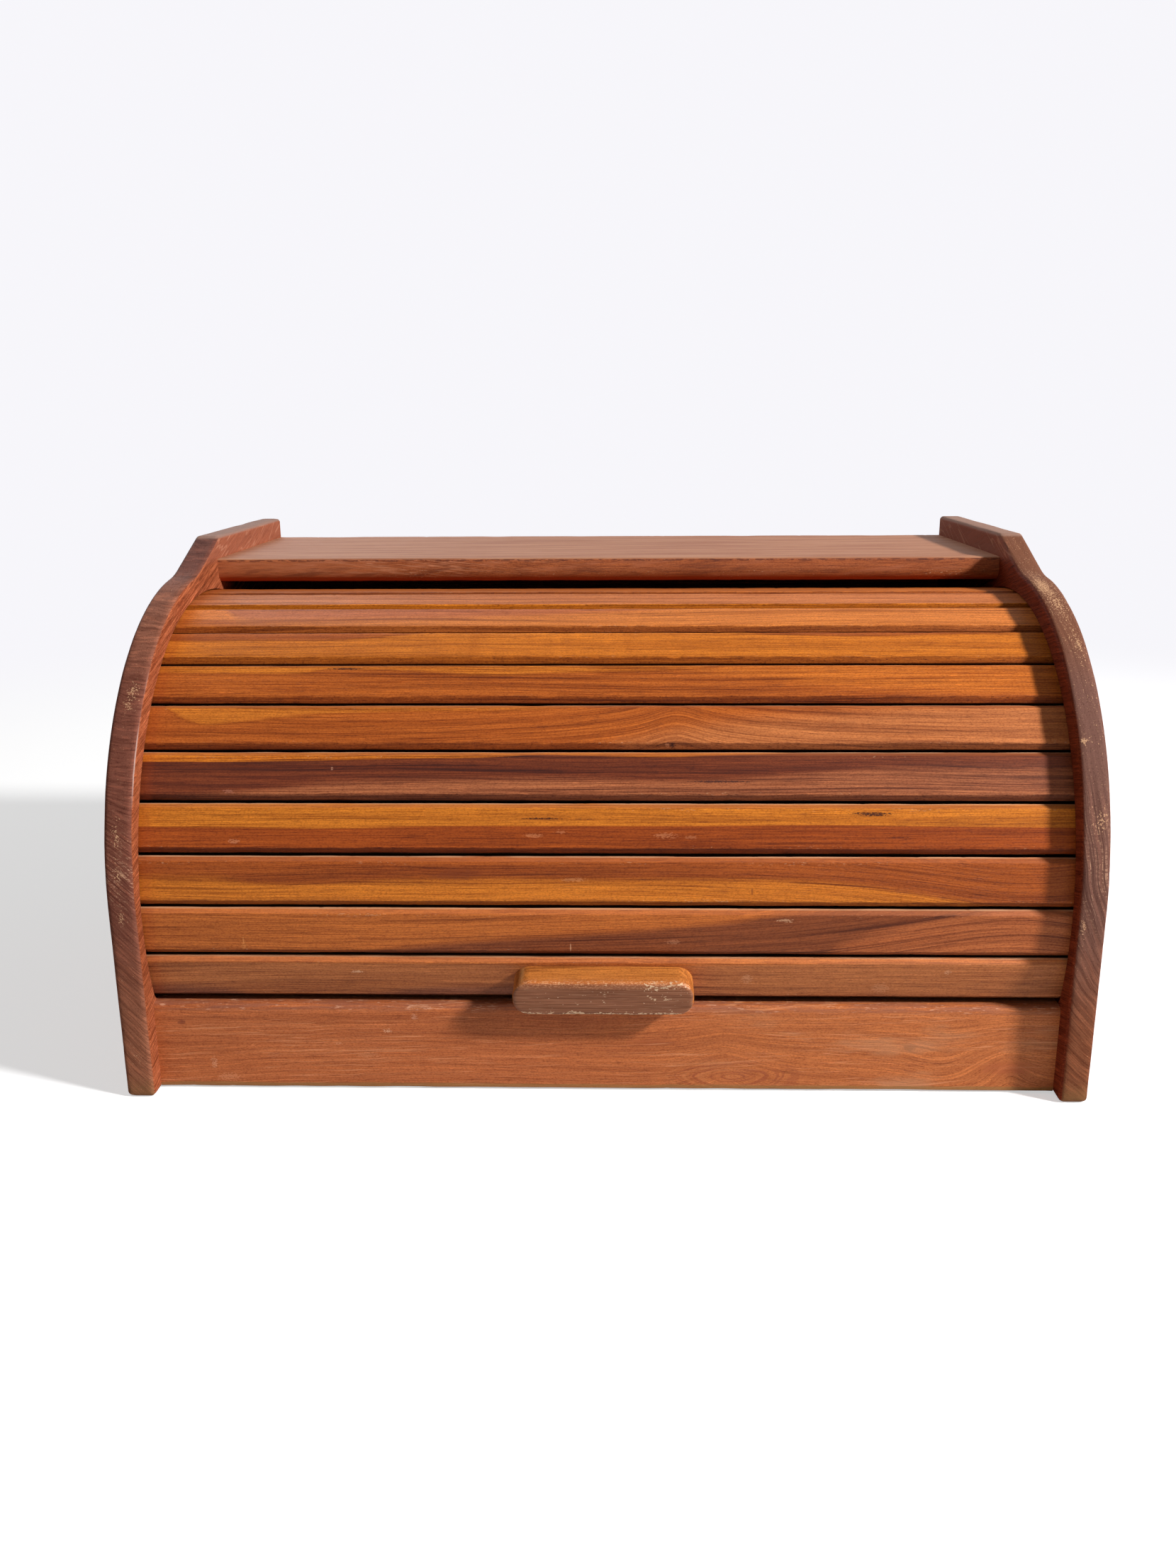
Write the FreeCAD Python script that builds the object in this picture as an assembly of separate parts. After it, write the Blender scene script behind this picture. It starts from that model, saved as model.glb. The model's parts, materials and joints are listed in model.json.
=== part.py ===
import FreeCAD, Part
import math
import os

from FreeCAD import Vector

# A roll-top bread box in teak. Two shaped sides carry a shelf across the top, a front rail, a
# bottom board and a back board. The tambour, a row of slats glued to canvas, runs in a round
# groove routed in each side: it turns about the groove's centre, up and back under the shelf.
# Millimetres. +X right, +Y to the back, +Z up, and Z = 0 is the surface that the sides stand on.

# The case
outer_width = 420.0
case_depth = 285.0
case_height = 231.0
side_thickness = 12.2
side_edge_radius = 2.0

# The outline of a side, seen from its end: an upright front edge, a long round brow, a short
# hollow, and a straight rise to the shoulder
brow_start_height = 86.7
brow_radius = 129.1
shoulder_from_front = 159.6
rise_angle = 21.0
hollow_radius = 50.0
shoulder_radius = 6.0
foot_radius = 2.5

# Boards between the sides
shelf_top_height = 219.9
shelf_thickness = 12.0
shelf_front_from_front = 153.4
shelf_nose_radius = 5.5
shelf_back_inset = 0.6
rail_front_from_front = 9.3
rail_top_height = 41.2
rail_bottom_height = 0.8
rail_thickness = 12.0
rail_nose_radius = 3.0
bottom_height = 3.0
bottom_thickness = 9.0
housing_depth = 4.0
back_thickness = 6.0
back_inset = 0.2
back_bottom_height = 1.0
back_side_gap = 0.2
rebate_width = 6.0
arris_radius = 0.8

# The tambour and its groove. Angles are degrees up from the front, about the groove's centre.
track_from_front = 132.2
track_height = 80.6
slat_count = 12
slat_pitch_angle = 10.43
first_slat_angle = -12.65
slat_face_radius = 125.3
slat_thickness = 8.0
slat_width = 21.3
slat_chamfer = 2.2
slat_edge_radius = 0.5
slat_end_gap = 0.4
groove_depth = 6.0
groove_gap = 0.4
groove_end_gap = 0.6
travel_angle = 103.0
canvas_thickness = 0.6
canvas_inset = 9.8

# The handle, on the lowest slat
handle_length = 77.6
handle_height = 16.8
handle_projection = 12.7
handle_corner_radius = 7.4
handle_edge_radius = 1.4
handle_drop = 1.6

# Dowels and screws
dowel_radius = 3.0
dowel_length = 24.0
dowel_in_side = 8.5
dowel_end_space = 0.5
shelf_dowel_setbacks = (22.0, 66.0, 112.0)
rail_dowel_heights = (19.0, 32.0)
screw_tip = 3.0
back_screw_length = 15.0
back_screw_radius = 1.5
back_screw_head_radius = 2.9
back_screw_heights = (26.0, 104.0, 186.0)
bottom_screw_places = (-125.0, 0.0, 125.0)
handle_screw_length = 16.0
handle_screw_radius = 1.7
handle_screw_head_radius = 3.3
handle_screw_spacing = 48.0

across = Vector(1, 0, 0)
backward = Vector(0, 1, 0)
upward = Vector(0, 0, 1)

# The whole box, handle included, is centred on Y = 0
first_slat_lean = math.radians(-first_slat_angle)
handle_reach = (
    (slat_face_radius + handle_projection - handle_edge_radius) * math.cos(first_slat_lean)
    + (handle_height / 2 - handle_drop - handle_edge_radius) * math.sin(first_slat_lean)
    + handle_edge_radius
)
track_y = (handle_reach - (case_depth - track_from_front)) / 2
front_y = track_y - track_from_front
back_y = front_y + case_depth
inner_x = outer_width / 2 - side_thickness

shelf_front_y = front_y + shelf_front_from_front
shelf_back_y = back_y - shelf_back_inset
shelf_bottom_height = shelf_top_height - shelf_thickness
rail_front_y = front_y + rail_front_from_front
rail_back_y = rail_front_y + rail_thickness
back_face_y = back_y - back_inset
back_board_front_y = back_face_y - back_thickness

half_pitch = math.radians(slat_pitch_angle / 2)
slat_back_radius = slat_face_radius - slat_thickness
groove_inner_radius = slat_back_radius - groove_gap
slat_corner_radius = math.hypot(slat_face_radius, slat_width / 2 - slat_chamfer)
groove_outer_radius = slat_corner_radius + groove_gap


def on_track(radius, angle):
    """The point at this radius and angle from the groove's centre."""
    turn = math.radians(angle)
    return Vector(0, track_y - radius * math.cos(turn), track_height + radius * math.sin(turn))


def slat_angle(number):
    return first_slat_angle + (number - 1) * slat_pitch_angle


def slat_placement(angle):
    """Takes a slat's own axes, X along it, Y across it and Z out of the box, to its place."""
    return FreeCAD.Placement(Vector(0, track_y, track_height), FreeCAD.Rotation(across, 90 - angle))


def arc_about(centre, start, end):
    """The shorter arc from start to end about a centre."""
    middle = (start - centre) + (end - centre)
    middle.normalize()
    return Part.Arc(start, centre + middle * (start - centre).Length, end).toShape()


def line(start, end):
    return Part.LineSegment(start, end).toShape()


def extruded(edges, direction):
    return Part.Face(Part.Wire(edges)).extrude(direction)


def block(low, high):
    size = high - low
    return Part.makeBox(size.x, size.y, size.z, low)


def edges_through(shape, points):
    """The straight edges of a shape that pass through the given points."""
    chosen = []
    for edge in shape.Edges:
        if any(edge.distToShape(Part.Vertex(point))[0] < 0.01 for point in points):
            chosen.append(edge)
    return chosen


def rounded_board(low, high, nose_points, nose_radius, arris_points):
    """A board with one rounded long edge and the other long edges just broken."""
    board = block(low, high)
    board = board.makeFillet(nose_radius, edges_through(board, nose_points))
    return board.makeFillet(arris_radius, edges_through(board, arris_points))


def side_outline():
    """The outline of a side at X = 0, from its front foot over the top to its back foot."""
    brow_centre = Vector(0, front_y + brow_radius, brow_start_height)
    rise = math.radians(rise_angle)
    along_rise = Vector(0, math.cos(rise), math.sin(rise))
    out_of_rise = Vector(0, -math.sin(rise), math.cos(rise))
    shoulder = Vector(0, front_y + shoulder_from_front, case_height)

    # The hollow's centre is its own radius off the rise, and clear of the brow by the same
    offset = shoulder + out_of_rise * hollow_radius - brow_centre
    middle = offset.dot(along_rise)
    spare = offset.dot(offset) - (brow_radius + hollow_radius) ** 2
    hollow_centre = brow_centre + offset - along_rise * (middle - math.sqrt(middle**2 - spare))
    to_hollow = hollow_centre - brow_centre
    to_hollow.normalize()
    brow_end = brow_centre + to_hollow * brow_radius
    rise_start = hollow_centre - out_of_rise * hollow_radius

    trim = shoulder_radius * math.tan(rise / 2)
    rise_end = shoulder - along_rise * trim
    top_start = shoulder + backward * trim
    shoulder_centre = top_start - upward * shoulder_radius

    # The upright front, back and foot edges meet the others in small rounds
    brow_start = Vector(0, front_y, brow_start_height)
    front_low = Vector(0, front_y, foot_radius)
    foot_front = Vector(0, front_y + foot_radius, 0)
    front_centre = Vector(0, front_y + foot_radius, foot_radius)
    foot_back = Vector(0, back_y - foot_radius, 0)
    back_low = Vector(0, back_y, foot_radius)
    back_centre = Vector(0, back_y - foot_radius, foot_radius)
    back_high = Vector(0, back_y, case_height - foot_radius)
    top_end = Vector(0, back_y - foot_radius, case_height)
    top_centre = Vector(0, back_y - foot_radius, case_height - foot_radius)
    return [
        arc_about(front_centre, foot_front, front_low),
        line(front_low, brow_start),
        arc_about(brow_centre, brow_start, brow_end),
        arc_about(hollow_centre, brow_end, rise_start),
        line(rise_start, rise_end),
        arc_about(shoulder_centre, rise_end, top_start),
        line(top_start, top_end),
        arc_about(top_centre, top_end, back_high),
        line(back_high, back_low),
        arc_about(back_centre, back_low, foot_back),
        line(foot_back, foot_front),
    ]


def groove_cutter(inner_face_x, direction):
    """The routed groove: a ring sector with the router bit's round ends."""
    half_width = (groove_outer_radius - groove_inner_radius) / 2
    middle_radius = groove_inner_radius + half_width

    # The end slats' back corners meet the round ends, less a small gap
    corner_radius = math.hypot(slat_back_radius, slat_width / 2)
    corner_angle = math.degrees(math.atan2(slat_width / 2, slat_back_radius))
    round_reach = math.sqrt(half_width**2 - (middle_radius - corner_radius) ** 2)
    reach_angle = math.degrees((round_reach - groove_end_gap) / corner_radius)
    low_angle = first_slat_angle - corner_angle + reach_angle
    high_angle = slat_angle(slat_count) + corner_angle + travel_angle - reach_angle

    def end_arc(angle, sign):
        tip = on_track(middle_radius, angle + sign * math.degrees(half_width / middle_radius))
        start = on_track(groove_outer_radius, angle)
        return Part.Arc(start, tip, on_track(groove_inner_radius, angle)).toShape()

    def wall(radius):
        middle = on_track(radius, (low_angle + high_angle) / 2)
        return Part.Arc(on_track(radius, low_angle), middle, on_track(radius, high_angle)).toShape()

    outline = [
        wall(groove_outer_radius),
        end_arc(high_angle, 1),
        wall(groove_inner_radius),
        end_arc(low_angle, -1),
    ]
    cutter = extruded(outline, across * groove_depth * direction)
    cutter.translate(across * inner_face_x)
    return cutter


def dowel(inner_face_x, direction, y, z):
    """A dowel across the joint between a side and the end of a board."""
    start = Vector(inner_face_x + direction * dowel_in_side, y, z)
    return Part.makeCylinder(dowel_radius, dowel_length, start, across * -direction)


def dowel_hole(inner_face_x, direction, y, z):
    start = Vector(inner_face_x + direction * (dowel_in_side + dowel_end_space), y, z)
    depth = dowel_length + 2 * dowel_end_space
    return Part.makeCylinder(dowel_radius, depth, start, across * -direction)


def both_ends(shape_at, places):
    """A dowel or a hole at each place, at the left side and at the right side."""
    return [shape_at(s * inner_x, s, y, z) for s in (-1, 1) for y, z in places]


def wood_screw(length, shank_radius, head_radius):
    """A countersunk screw along +Z, with its flat head at Z = 0. No thread and no slot."""
    points = [
        Vector(0, 0, 0),
        Vector(head_radius, 0, 0),
        Vector(shank_radius, 0, head_radius - shank_radius),
        Vector(shank_radius, 0, length - screw_tip),
        Vector(0, 0, length),
    ]
    outline = Part.Face(Part.makePolygon(points + points[:1]))
    return outline.revolve(Vector(), upward, 360)


def placed(shape, position, direction):
    moved = shape.copy()
    moved.Placement = FreeCAD.Placement(position, FreeCAD.Rotation(upward, direction))
    return moved


def shelf_dowel_places():
    height = shelf_top_height - shelf_thickness / 2
    return [(shelf_front_y + setback, height) for setback in shelf_dowel_setbacks]


def rail_dowel_places():
    return [((rail_front_y + rail_back_y) / 2, height) for height in rail_dowel_heights]


def back_screw_places():
    """Where the back board is screwed to the sides and to the bottom board's back edge."""
    side_x = inner_x + rebate_width / 2
    beside = [Vector(x, back_face_y, z) for x in (-side_x, side_x) for z in back_screw_heights]
    bottom_z = bottom_height + bottom_thickness / 2
    below = [Vector(x, back_face_y, bottom_z) for x in bottom_screw_places]
    return beside + below


def back_screws():
    screw = wood_screw(back_screw_length, back_screw_radius, back_screw_head_radius)
    return [placed(screw, place, backward * -1) for place in back_screw_places()]


def side(direction):
    """A side: its outline, rounded all round, with the groove, housing, rebate and holes."""
    inner_face_x = direction * inner_x
    board = extruded(side_outline(), across * side_thickness * direction)
    board.translate(across * inner_face_x)
    rims = [edge for edge in board.Edges if edge.BoundBox.XLength < 0.01]
    board = board.makeFillet(side_edge_radius, rims)

    housing_x = sorted((inner_face_x, inner_face_x + direction * housing_depth))
    rebate_x = sorted((inner_face_x, inner_face_x + direction * rebate_width))
    housing_low = Vector(housing_x[0], rail_back_y - housing_depth, bottom_height)
    housing_high = Vector(housing_x[1], back_board_front_y, bottom_height + bottom_thickness)
    rebate_low = Vector(rebate_x[0], back_board_front_y, 0)
    rebate_high = Vector(rebate_x[1], back_y, shelf_bottom_height)
    cutters = [
        groove_cutter(inner_face_x, direction),
        block(housing_low, housing_high),
        block(rebate_low, rebate_high),
    ]
    for y, z in shelf_dowel_places() + rail_dowel_places():
        cutters.append(dowel_hole(inner_face_x, direction, y, z))
    return board.cut(cutters + back_screws())


def shelf():
    low = Vector(-inner_x, shelf_front_y, shelf_bottom_height)
    high = Vector(inner_x, shelf_back_y, shelf_top_height)
    nose = [Vector(0, shelf_front_y, shelf_bottom_height)]
    arrises = [
        Vector(0, shelf_front_y, shelf_top_height),
        Vector(0, shelf_back_y, shelf_top_height),
    ]
    board = rounded_board(low, high, nose, shelf_nose_radius, arrises)
    return board.cut(both_ends(dowel_hole, shelf_dowel_places()))


def front_rail():
    """The fixed rail below the tambour, grooved behind for the bottom board."""
    low = Vector(-inner_x, rail_front_y, rail_bottom_height)
    high = Vector(inner_x, rail_back_y, rail_top_height)
    nose = [Vector(0, rail_front_y, rail_top_height)]
    arrises = [
        Vector(0, rail_back_y, rail_top_height),
        Vector(0, rail_front_y, rail_bottom_height),
    ]
    board = rounded_board(low, high, nose, rail_nose_radius, arrises)
    groove_low = Vector(-inner_x, rail_back_y - housing_depth, bottom_height)
    groove_high = Vector(inner_x, rail_back_y, bottom_height + bottom_thickness)
    holes = both_ends(dowel_hole, rail_dowel_places())
    return board.cut([block(groove_low, groove_high)] + holes)


def bottom_board():
    low = Vector(-inner_x - housing_depth, rail_back_y - housing_depth, bottom_height)
    high = Vector(inner_x + housing_depth, back_board_front_y, bottom_height + bottom_thickness)
    return block(low, high).cut(back_screws())


def back_board():
    half_width = inner_x + rebate_width - back_side_gap
    low = Vector(-half_width, back_board_front_y, back_bottom_height)
    high = Vector(half_width, back_face_y, shelf_bottom_height)
    return block(low, high).cut(back_screws())


def plain_slat():
    """A slat in its own axes: flat, with its two long front edges chamfered."""
    half = slat_width / 2
    length = 2 * (inner_x + groove_depth - slat_end_gap)
    section = [
        (-half, slat_back_radius),
        (half, slat_back_radius),
        (half, slat_face_radius - slat_chamfer),
        (half - slat_chamfer, slat_face_radius),
        (slat_chamfer - half, slat_face_radius),
        (-half, slat_face_radius - slat_chamfer),
    ]
    points = [Vector(-length / 2, y, z) for y, z in section]
    board = Part.Face(Part.makePolygon(points + points[:1])).extrude(across * length)
    chamfer_edges = edges_through(board, [Vector(0, y, z) for y, z in section[2:]])
    return board.makeFillet(slat_edge_radius, chamfer_edges)


def handle_screws():
    """The handle's two screws in a slat's own axes, with their heads on the canvas."""
    screw = wood_screw(handle_screw_length, handle_screw_radius, handle_screw_head_radius)
    height = slat_back_radius - canvas_thickness
    places = [Vector(s * handle_screw_spacing / 2, -handle_drop, height) for s in (-1, 1)]
    return [placed(screw, place, upward) for place in places]


def on_first_slat(shape):
    """A shape made in a slat's own axes, put on the lowest slat."""
    moved = shape.copy()
    moved.Placement = slat_placement(first_slat_angle).multiply(shape.Placement)
    return moved


def slat(number):
    board = plain_slat()
    if number == 1:
        board = board.cut(handle_screws())
    board.Placement = slat_placement(slat_angle(number))
    return board


def canvas():
    """The cloth that the slats are glued to: one flat for each slat, pierced by the screws."""
    joint_angles = [slat_angle(number + 0.5) for number in range(slat_count + 1)]
    outer = [on_track(slat_back_radius / math.cos(half_pitch), angle) for angle in joint_angles]
    inner_inradius = slat_back_radius - canvas_thickness
    inner = [on_track(inner_inradius / math.cos(half_pitch), angle) for angle in joint_angles]
    points = outer + inner[::-1]
    half_width = inner_x - canvas_inset
    cloth = Part.Face(Part.makePolygon(points + points[:1])).extrude(across * 2 * half_width)
    cloth.translate(across * -half_width)
    return cloth.cut([on_first_slat(screw) for screw in handle_screws()])


def handle():
    """A long block with rounded ends and softened front edges."""
    half_length = handle_length / 2
    low = Vector(-half_length, -handle_height / 2 - handle_drop, slat_face_radius)
    block_high = low + Vector(handle_length, handle_height, handle_projection)
    grip = block(low, block_high)
    corners = [edge for edge in grip.Edges if edge.BoundBox.ZLength > handle_projection / 2]
    grip = grip.makeFillet(handle_corner_radius, corners)
    front = slat_face_radius + handle_projection
    rim = [edge for edge in grip.Edges if edge.BoundBox.ZMin > front - 0.01]
    grip = grip.makeFillet(handle_edge_radius, rim)
    return on_first_slat(grip.cut(handle_screws()))


def all_nodes():
    nodes = {
        "left_side": side(-1),
        "right_side": side(1),
        "shelf": shelf(),
        "front_rail": front_rail(),
        "bottom_board": bottom_board(),
        "back_board": back_board(),
        "shelf_dowels": Part.makeCompound(both_ends(dowel, shelf_dowel_places())),
        "rail_dowels": Part.makeCompound(both_ends(dowel, rail_dowel_places())),
        "back_screws": Part.makeCompound(back_screws()),
        "slat_canvas": canvas(),
        "handle": handle(),
        "handle_screws": on_first_slat(Part.makeCompound(handle_screws())),
    }
    for number in range(1, slat_count + 1):
        nodes["slat_%02d" % number] = slat(number)
    return nodes


os.makedirs("parts", exist_ok=True)
for name, shape in all_nodes().items():
    shape.exportStep("parts/%s.step" % name)
    box = shape.BoundBox
    print(name, "solids", len(shape.Solids), "volume", round(shape.Volume), "valid", shape.isValid(),
          "x", round(box.XMin, 2), round(box.XMax, 2), "y", round(box.YMin, 2), round(box.YMax, 2),
          "z", round(box.ZMin, 2), round(box.ZMax, 2))
print("the tambour turns about X at y", round(track_y, 4), "z", track_height)
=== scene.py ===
import json
import math

import bmesh
import bpy
from mathutils import Matrix, Vector, noise


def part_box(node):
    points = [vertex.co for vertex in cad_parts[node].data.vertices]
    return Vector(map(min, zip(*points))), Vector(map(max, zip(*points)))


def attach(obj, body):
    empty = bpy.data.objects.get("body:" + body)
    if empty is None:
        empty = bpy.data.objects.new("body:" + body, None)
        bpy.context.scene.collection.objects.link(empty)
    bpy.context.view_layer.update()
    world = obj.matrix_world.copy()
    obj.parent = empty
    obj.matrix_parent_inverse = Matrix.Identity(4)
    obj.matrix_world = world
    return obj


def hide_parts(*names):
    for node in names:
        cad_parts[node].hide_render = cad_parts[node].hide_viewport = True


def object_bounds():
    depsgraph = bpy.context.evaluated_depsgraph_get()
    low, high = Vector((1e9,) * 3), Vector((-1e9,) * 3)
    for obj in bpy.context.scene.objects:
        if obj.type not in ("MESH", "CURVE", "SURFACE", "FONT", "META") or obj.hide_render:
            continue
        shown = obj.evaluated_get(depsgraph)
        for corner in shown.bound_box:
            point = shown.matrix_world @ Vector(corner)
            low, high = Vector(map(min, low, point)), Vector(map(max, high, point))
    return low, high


# A roll-top bread box in oiled teak: shaped sides, a shelf, a rail, and twelve slats on canvas.
# Sizes are in millimetres until a mesh is made, and colours are written as 0-255 screen values.

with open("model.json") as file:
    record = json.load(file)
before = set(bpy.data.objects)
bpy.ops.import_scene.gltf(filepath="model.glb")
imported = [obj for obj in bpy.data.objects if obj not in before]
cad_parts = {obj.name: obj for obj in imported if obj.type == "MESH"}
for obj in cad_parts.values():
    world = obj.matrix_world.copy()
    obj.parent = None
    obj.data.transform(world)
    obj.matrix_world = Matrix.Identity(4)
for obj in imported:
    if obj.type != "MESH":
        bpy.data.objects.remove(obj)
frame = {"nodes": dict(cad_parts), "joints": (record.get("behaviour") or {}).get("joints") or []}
cadLow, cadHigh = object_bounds()
scene = bpy.context.scene
millimetre = 0.001


def paint(colour, level=1.0):
    # 0-255 screen values to the linear colour that a shader wants
    parts = [value / 255 for value in colour]
    linear = [v / 12.92 if v <= 0.04045 else ((v + 0.055) / 1.055) ** 2.4 for v in parts]
    return tuple(v * level for v in linear) + (1.0,)


class Wire:
    # One output of a node. Arithmetic on it adds Math nodes.
    def __init__(self, finish, socket):
        self.finish = finish
        self.socket = socket

    def __add__(self, other):
        return self.finish.maths("ADD", self, other)

    def __radd__(self, other):
        return self.finish.maths("ADD", other, self)

    def __sub__(self, other):
        return self.finish.maths("SUBTRACT", self, other)

    def __rsub__(self, other):
        return self.finish.maths("SUBTRACT", other, self)

    def __mul__(self, other):
        return self.finish.maths("MULTIPLY", self, other)

    def __rmul__(self, other):
        return self.finish.maths("MULTIPLY", other, self)

    def __truediv__(self, other):
        return self.finish.maths("DIVIDE", self, other)

    def __rtruediv__(self, other):
        return self.finish.maths("DIVIDE", other, self)

    def __abs__(self):
        return self.finish.maths("ABSOLUTE", self)


class Finish:
    # The nodes of a material or a world, and the few calls that they are made with
    def __init__(self, owner):
        self.owner = owner
        owner.use_nodes = True
        self.tree = owner.node_tree
        self.tree.nodes.clear()

    def node(self, kind, settings, inputs, output=0):
        made = self.tree.nodes.new(kind)
        for key, value in settings.items():
            if key == "points":
                curve = made.mapping.curves[0]
                for place in value[1:-1]:
                    curve.points.new(*place)
                curve.points[0].location = value[0]
                curve.points[len(value) - 1].location = value[-1]
                made.mapping.update()
            else:
                setattr(made, key, value)
        for key, value in inputs.items():
            if isinstance(value, Wire):
                self.tree.links.new(value.socket, made.inputs[key])
            else:
                made.inputs[key].default_value = value
        return Wire(self, made.outputs[output]) if made.outputs else None

    def maths(self, operation, *values):
        return self.node("ShaderNodeMath", {"operation": operation}, dict(enumerate(values)))

    def split(self, vector):
        parts = self.node("ShaderNodeSeparateXYZ", {}, {0: vector}).socket.node.outputs
        return [Wire(self, part) for part in parts]

    def noise(self, x, y, z, detail=2.0, roughness=0.5):
        place = self.node("ShaderNodeCombineXYZ", {}, {0: x, 1: y, 2: z})
        inputs = {"Vector": place, "Scale": 1.0, "Detail": detail, "Roughness": roughness}
        return self.node("ShaderNodeTexNoise", {"noise_dimensions": "3D"}, inputs, "Fac")

    def rise(self, value, low, high, top=1.0):
        # 0 below low, top above high, and a soft step between
        inputs = {"Value": value, "From Min": low, "From Max": high, "To Max": top}
        settings = {"interpolation_type": "SMOOTHSTEP"}
        return self.node("ShaderNodeMapRange", settings, inputs, "Result")

    def dome(self, value, centre, width):
        # 1 at the centre, falling away to either side
        reach = (value - centre) / width
        return 1.0 / (1.0 + reach * reach)

    def curve(self, value, low, high, bottom, top, points):
        # A drawn line: its height at each place along a piece
        scaled = [((x - low) / (high - low), (y - bottom) / (top - bottom)) for x, y in points]
        place = (value - low) / (high - low)
        height = self.node("ShaderNodeFloatCurve", {"points": scaled}, {"Value": place})
        return height * (top - bottom) + bottom

    def layer(self, name, output="Fac"):
        return self.node("ShaderNodeAttribute", {"attribute_name": name}, {}, output)

    def mix(self, amount, first, second, blend="MIX"):
        settings = {"data_type": "RGBA", "blend_type": blend, "clamp_factor": True}
        return self.node("ShaderNodeMix", settings, {0: amount, 6: first, 7: second}, 2)

    def coat(self, colour, *coats):
        # Colours laid over one another, each as thick as its mask
        for mask, over in coats:
            colour = self.mix(mask, colour, paint(over))
        return colour

    def stain(self, colour, *stains):
        # Tints that multiply what they cover, each as strong as its mask
        for mask, tint in stains:
            colour = self.mix(mask, colour, (*tint, 1.0), "MULTIPLY")
        return colour

    def principled(self, colour, roughness, height=None, **constants):
        inputs = {"Base Color": colour, "Roughness": roughness}
        inputs.update((name.replace("_", " "), value) for name, value in constants.items())
        if height is not None:
            bump = {"Strength": 1.0, "Distance": millimetre, "Height": height}
            inputs["Normal"] = self.node("ShaderNodeBump", {}, bump, "Normal")
        return self.node("ShaderNodeBsdfPrincipled", {}, inputs)

    def surface(self, *looks, **constants):
        shader = self.principled(*looks, **constants)
        self.node("ShaderNodeOutputMaterial", {}, {"Surface": shader})
        return self.owner


teakUsual = {  # what a piece's own look may change
    "tilt": 0.6, "bend": 10.0, "slope": 0.0, "arches": [], "patches": [], "marks": [],
    "streaks": 1.0, "lines": 0.6, "veins": 0.4, "fibres": 0.7, "pores": 0.45, "flecks": 0.3,
    "roughness": 0.46, "gloss": 0.18,
}
patchUsual = {"side": 1.0, "soft": 1.0, "amount": 1.0, "wander": 2.0, "feather": 2.2, "seam": 0}
markRagged = 2.6
teakWorn = (214, 172, 132)
teakTints = {  # what they multiply the wood by
    "glow": (1.26, 1.30, 1.26),  # a light streak
    "deep": (0.60, 0.48, 0.40),  # a dark streak
    "dark": (0.40, 0.30, 0.26),  # a thin growth line
    "pore": (0.42, 0.33, 0.28),
    "fleck": (1.75, 1.75, 1.70),
}
grainNoise = {  # turns per millimetre along, across and into a board, then detail and roughness
    "streak": (0.0040, 0.24, 0.05, 3.0, 0.58),
    "line": (0.0085, 0.95, 0.3, 2.0, 0.65),
    "fibre": (0.020, 2.2, 1.8, 2.0, 0.8),
}
veinLevels = {0.54: "dark", 0.46: "glow", 0.60: "dark", 0.40: "glow"}  # contours of the streaks
seedSpread = 531.7  # millimetres along the grain from one board's figure to the next
edgeFrame = (-204.0, 204.0, -24.0, 24.0)  # where the edges of a slat's patches are drawn


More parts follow.
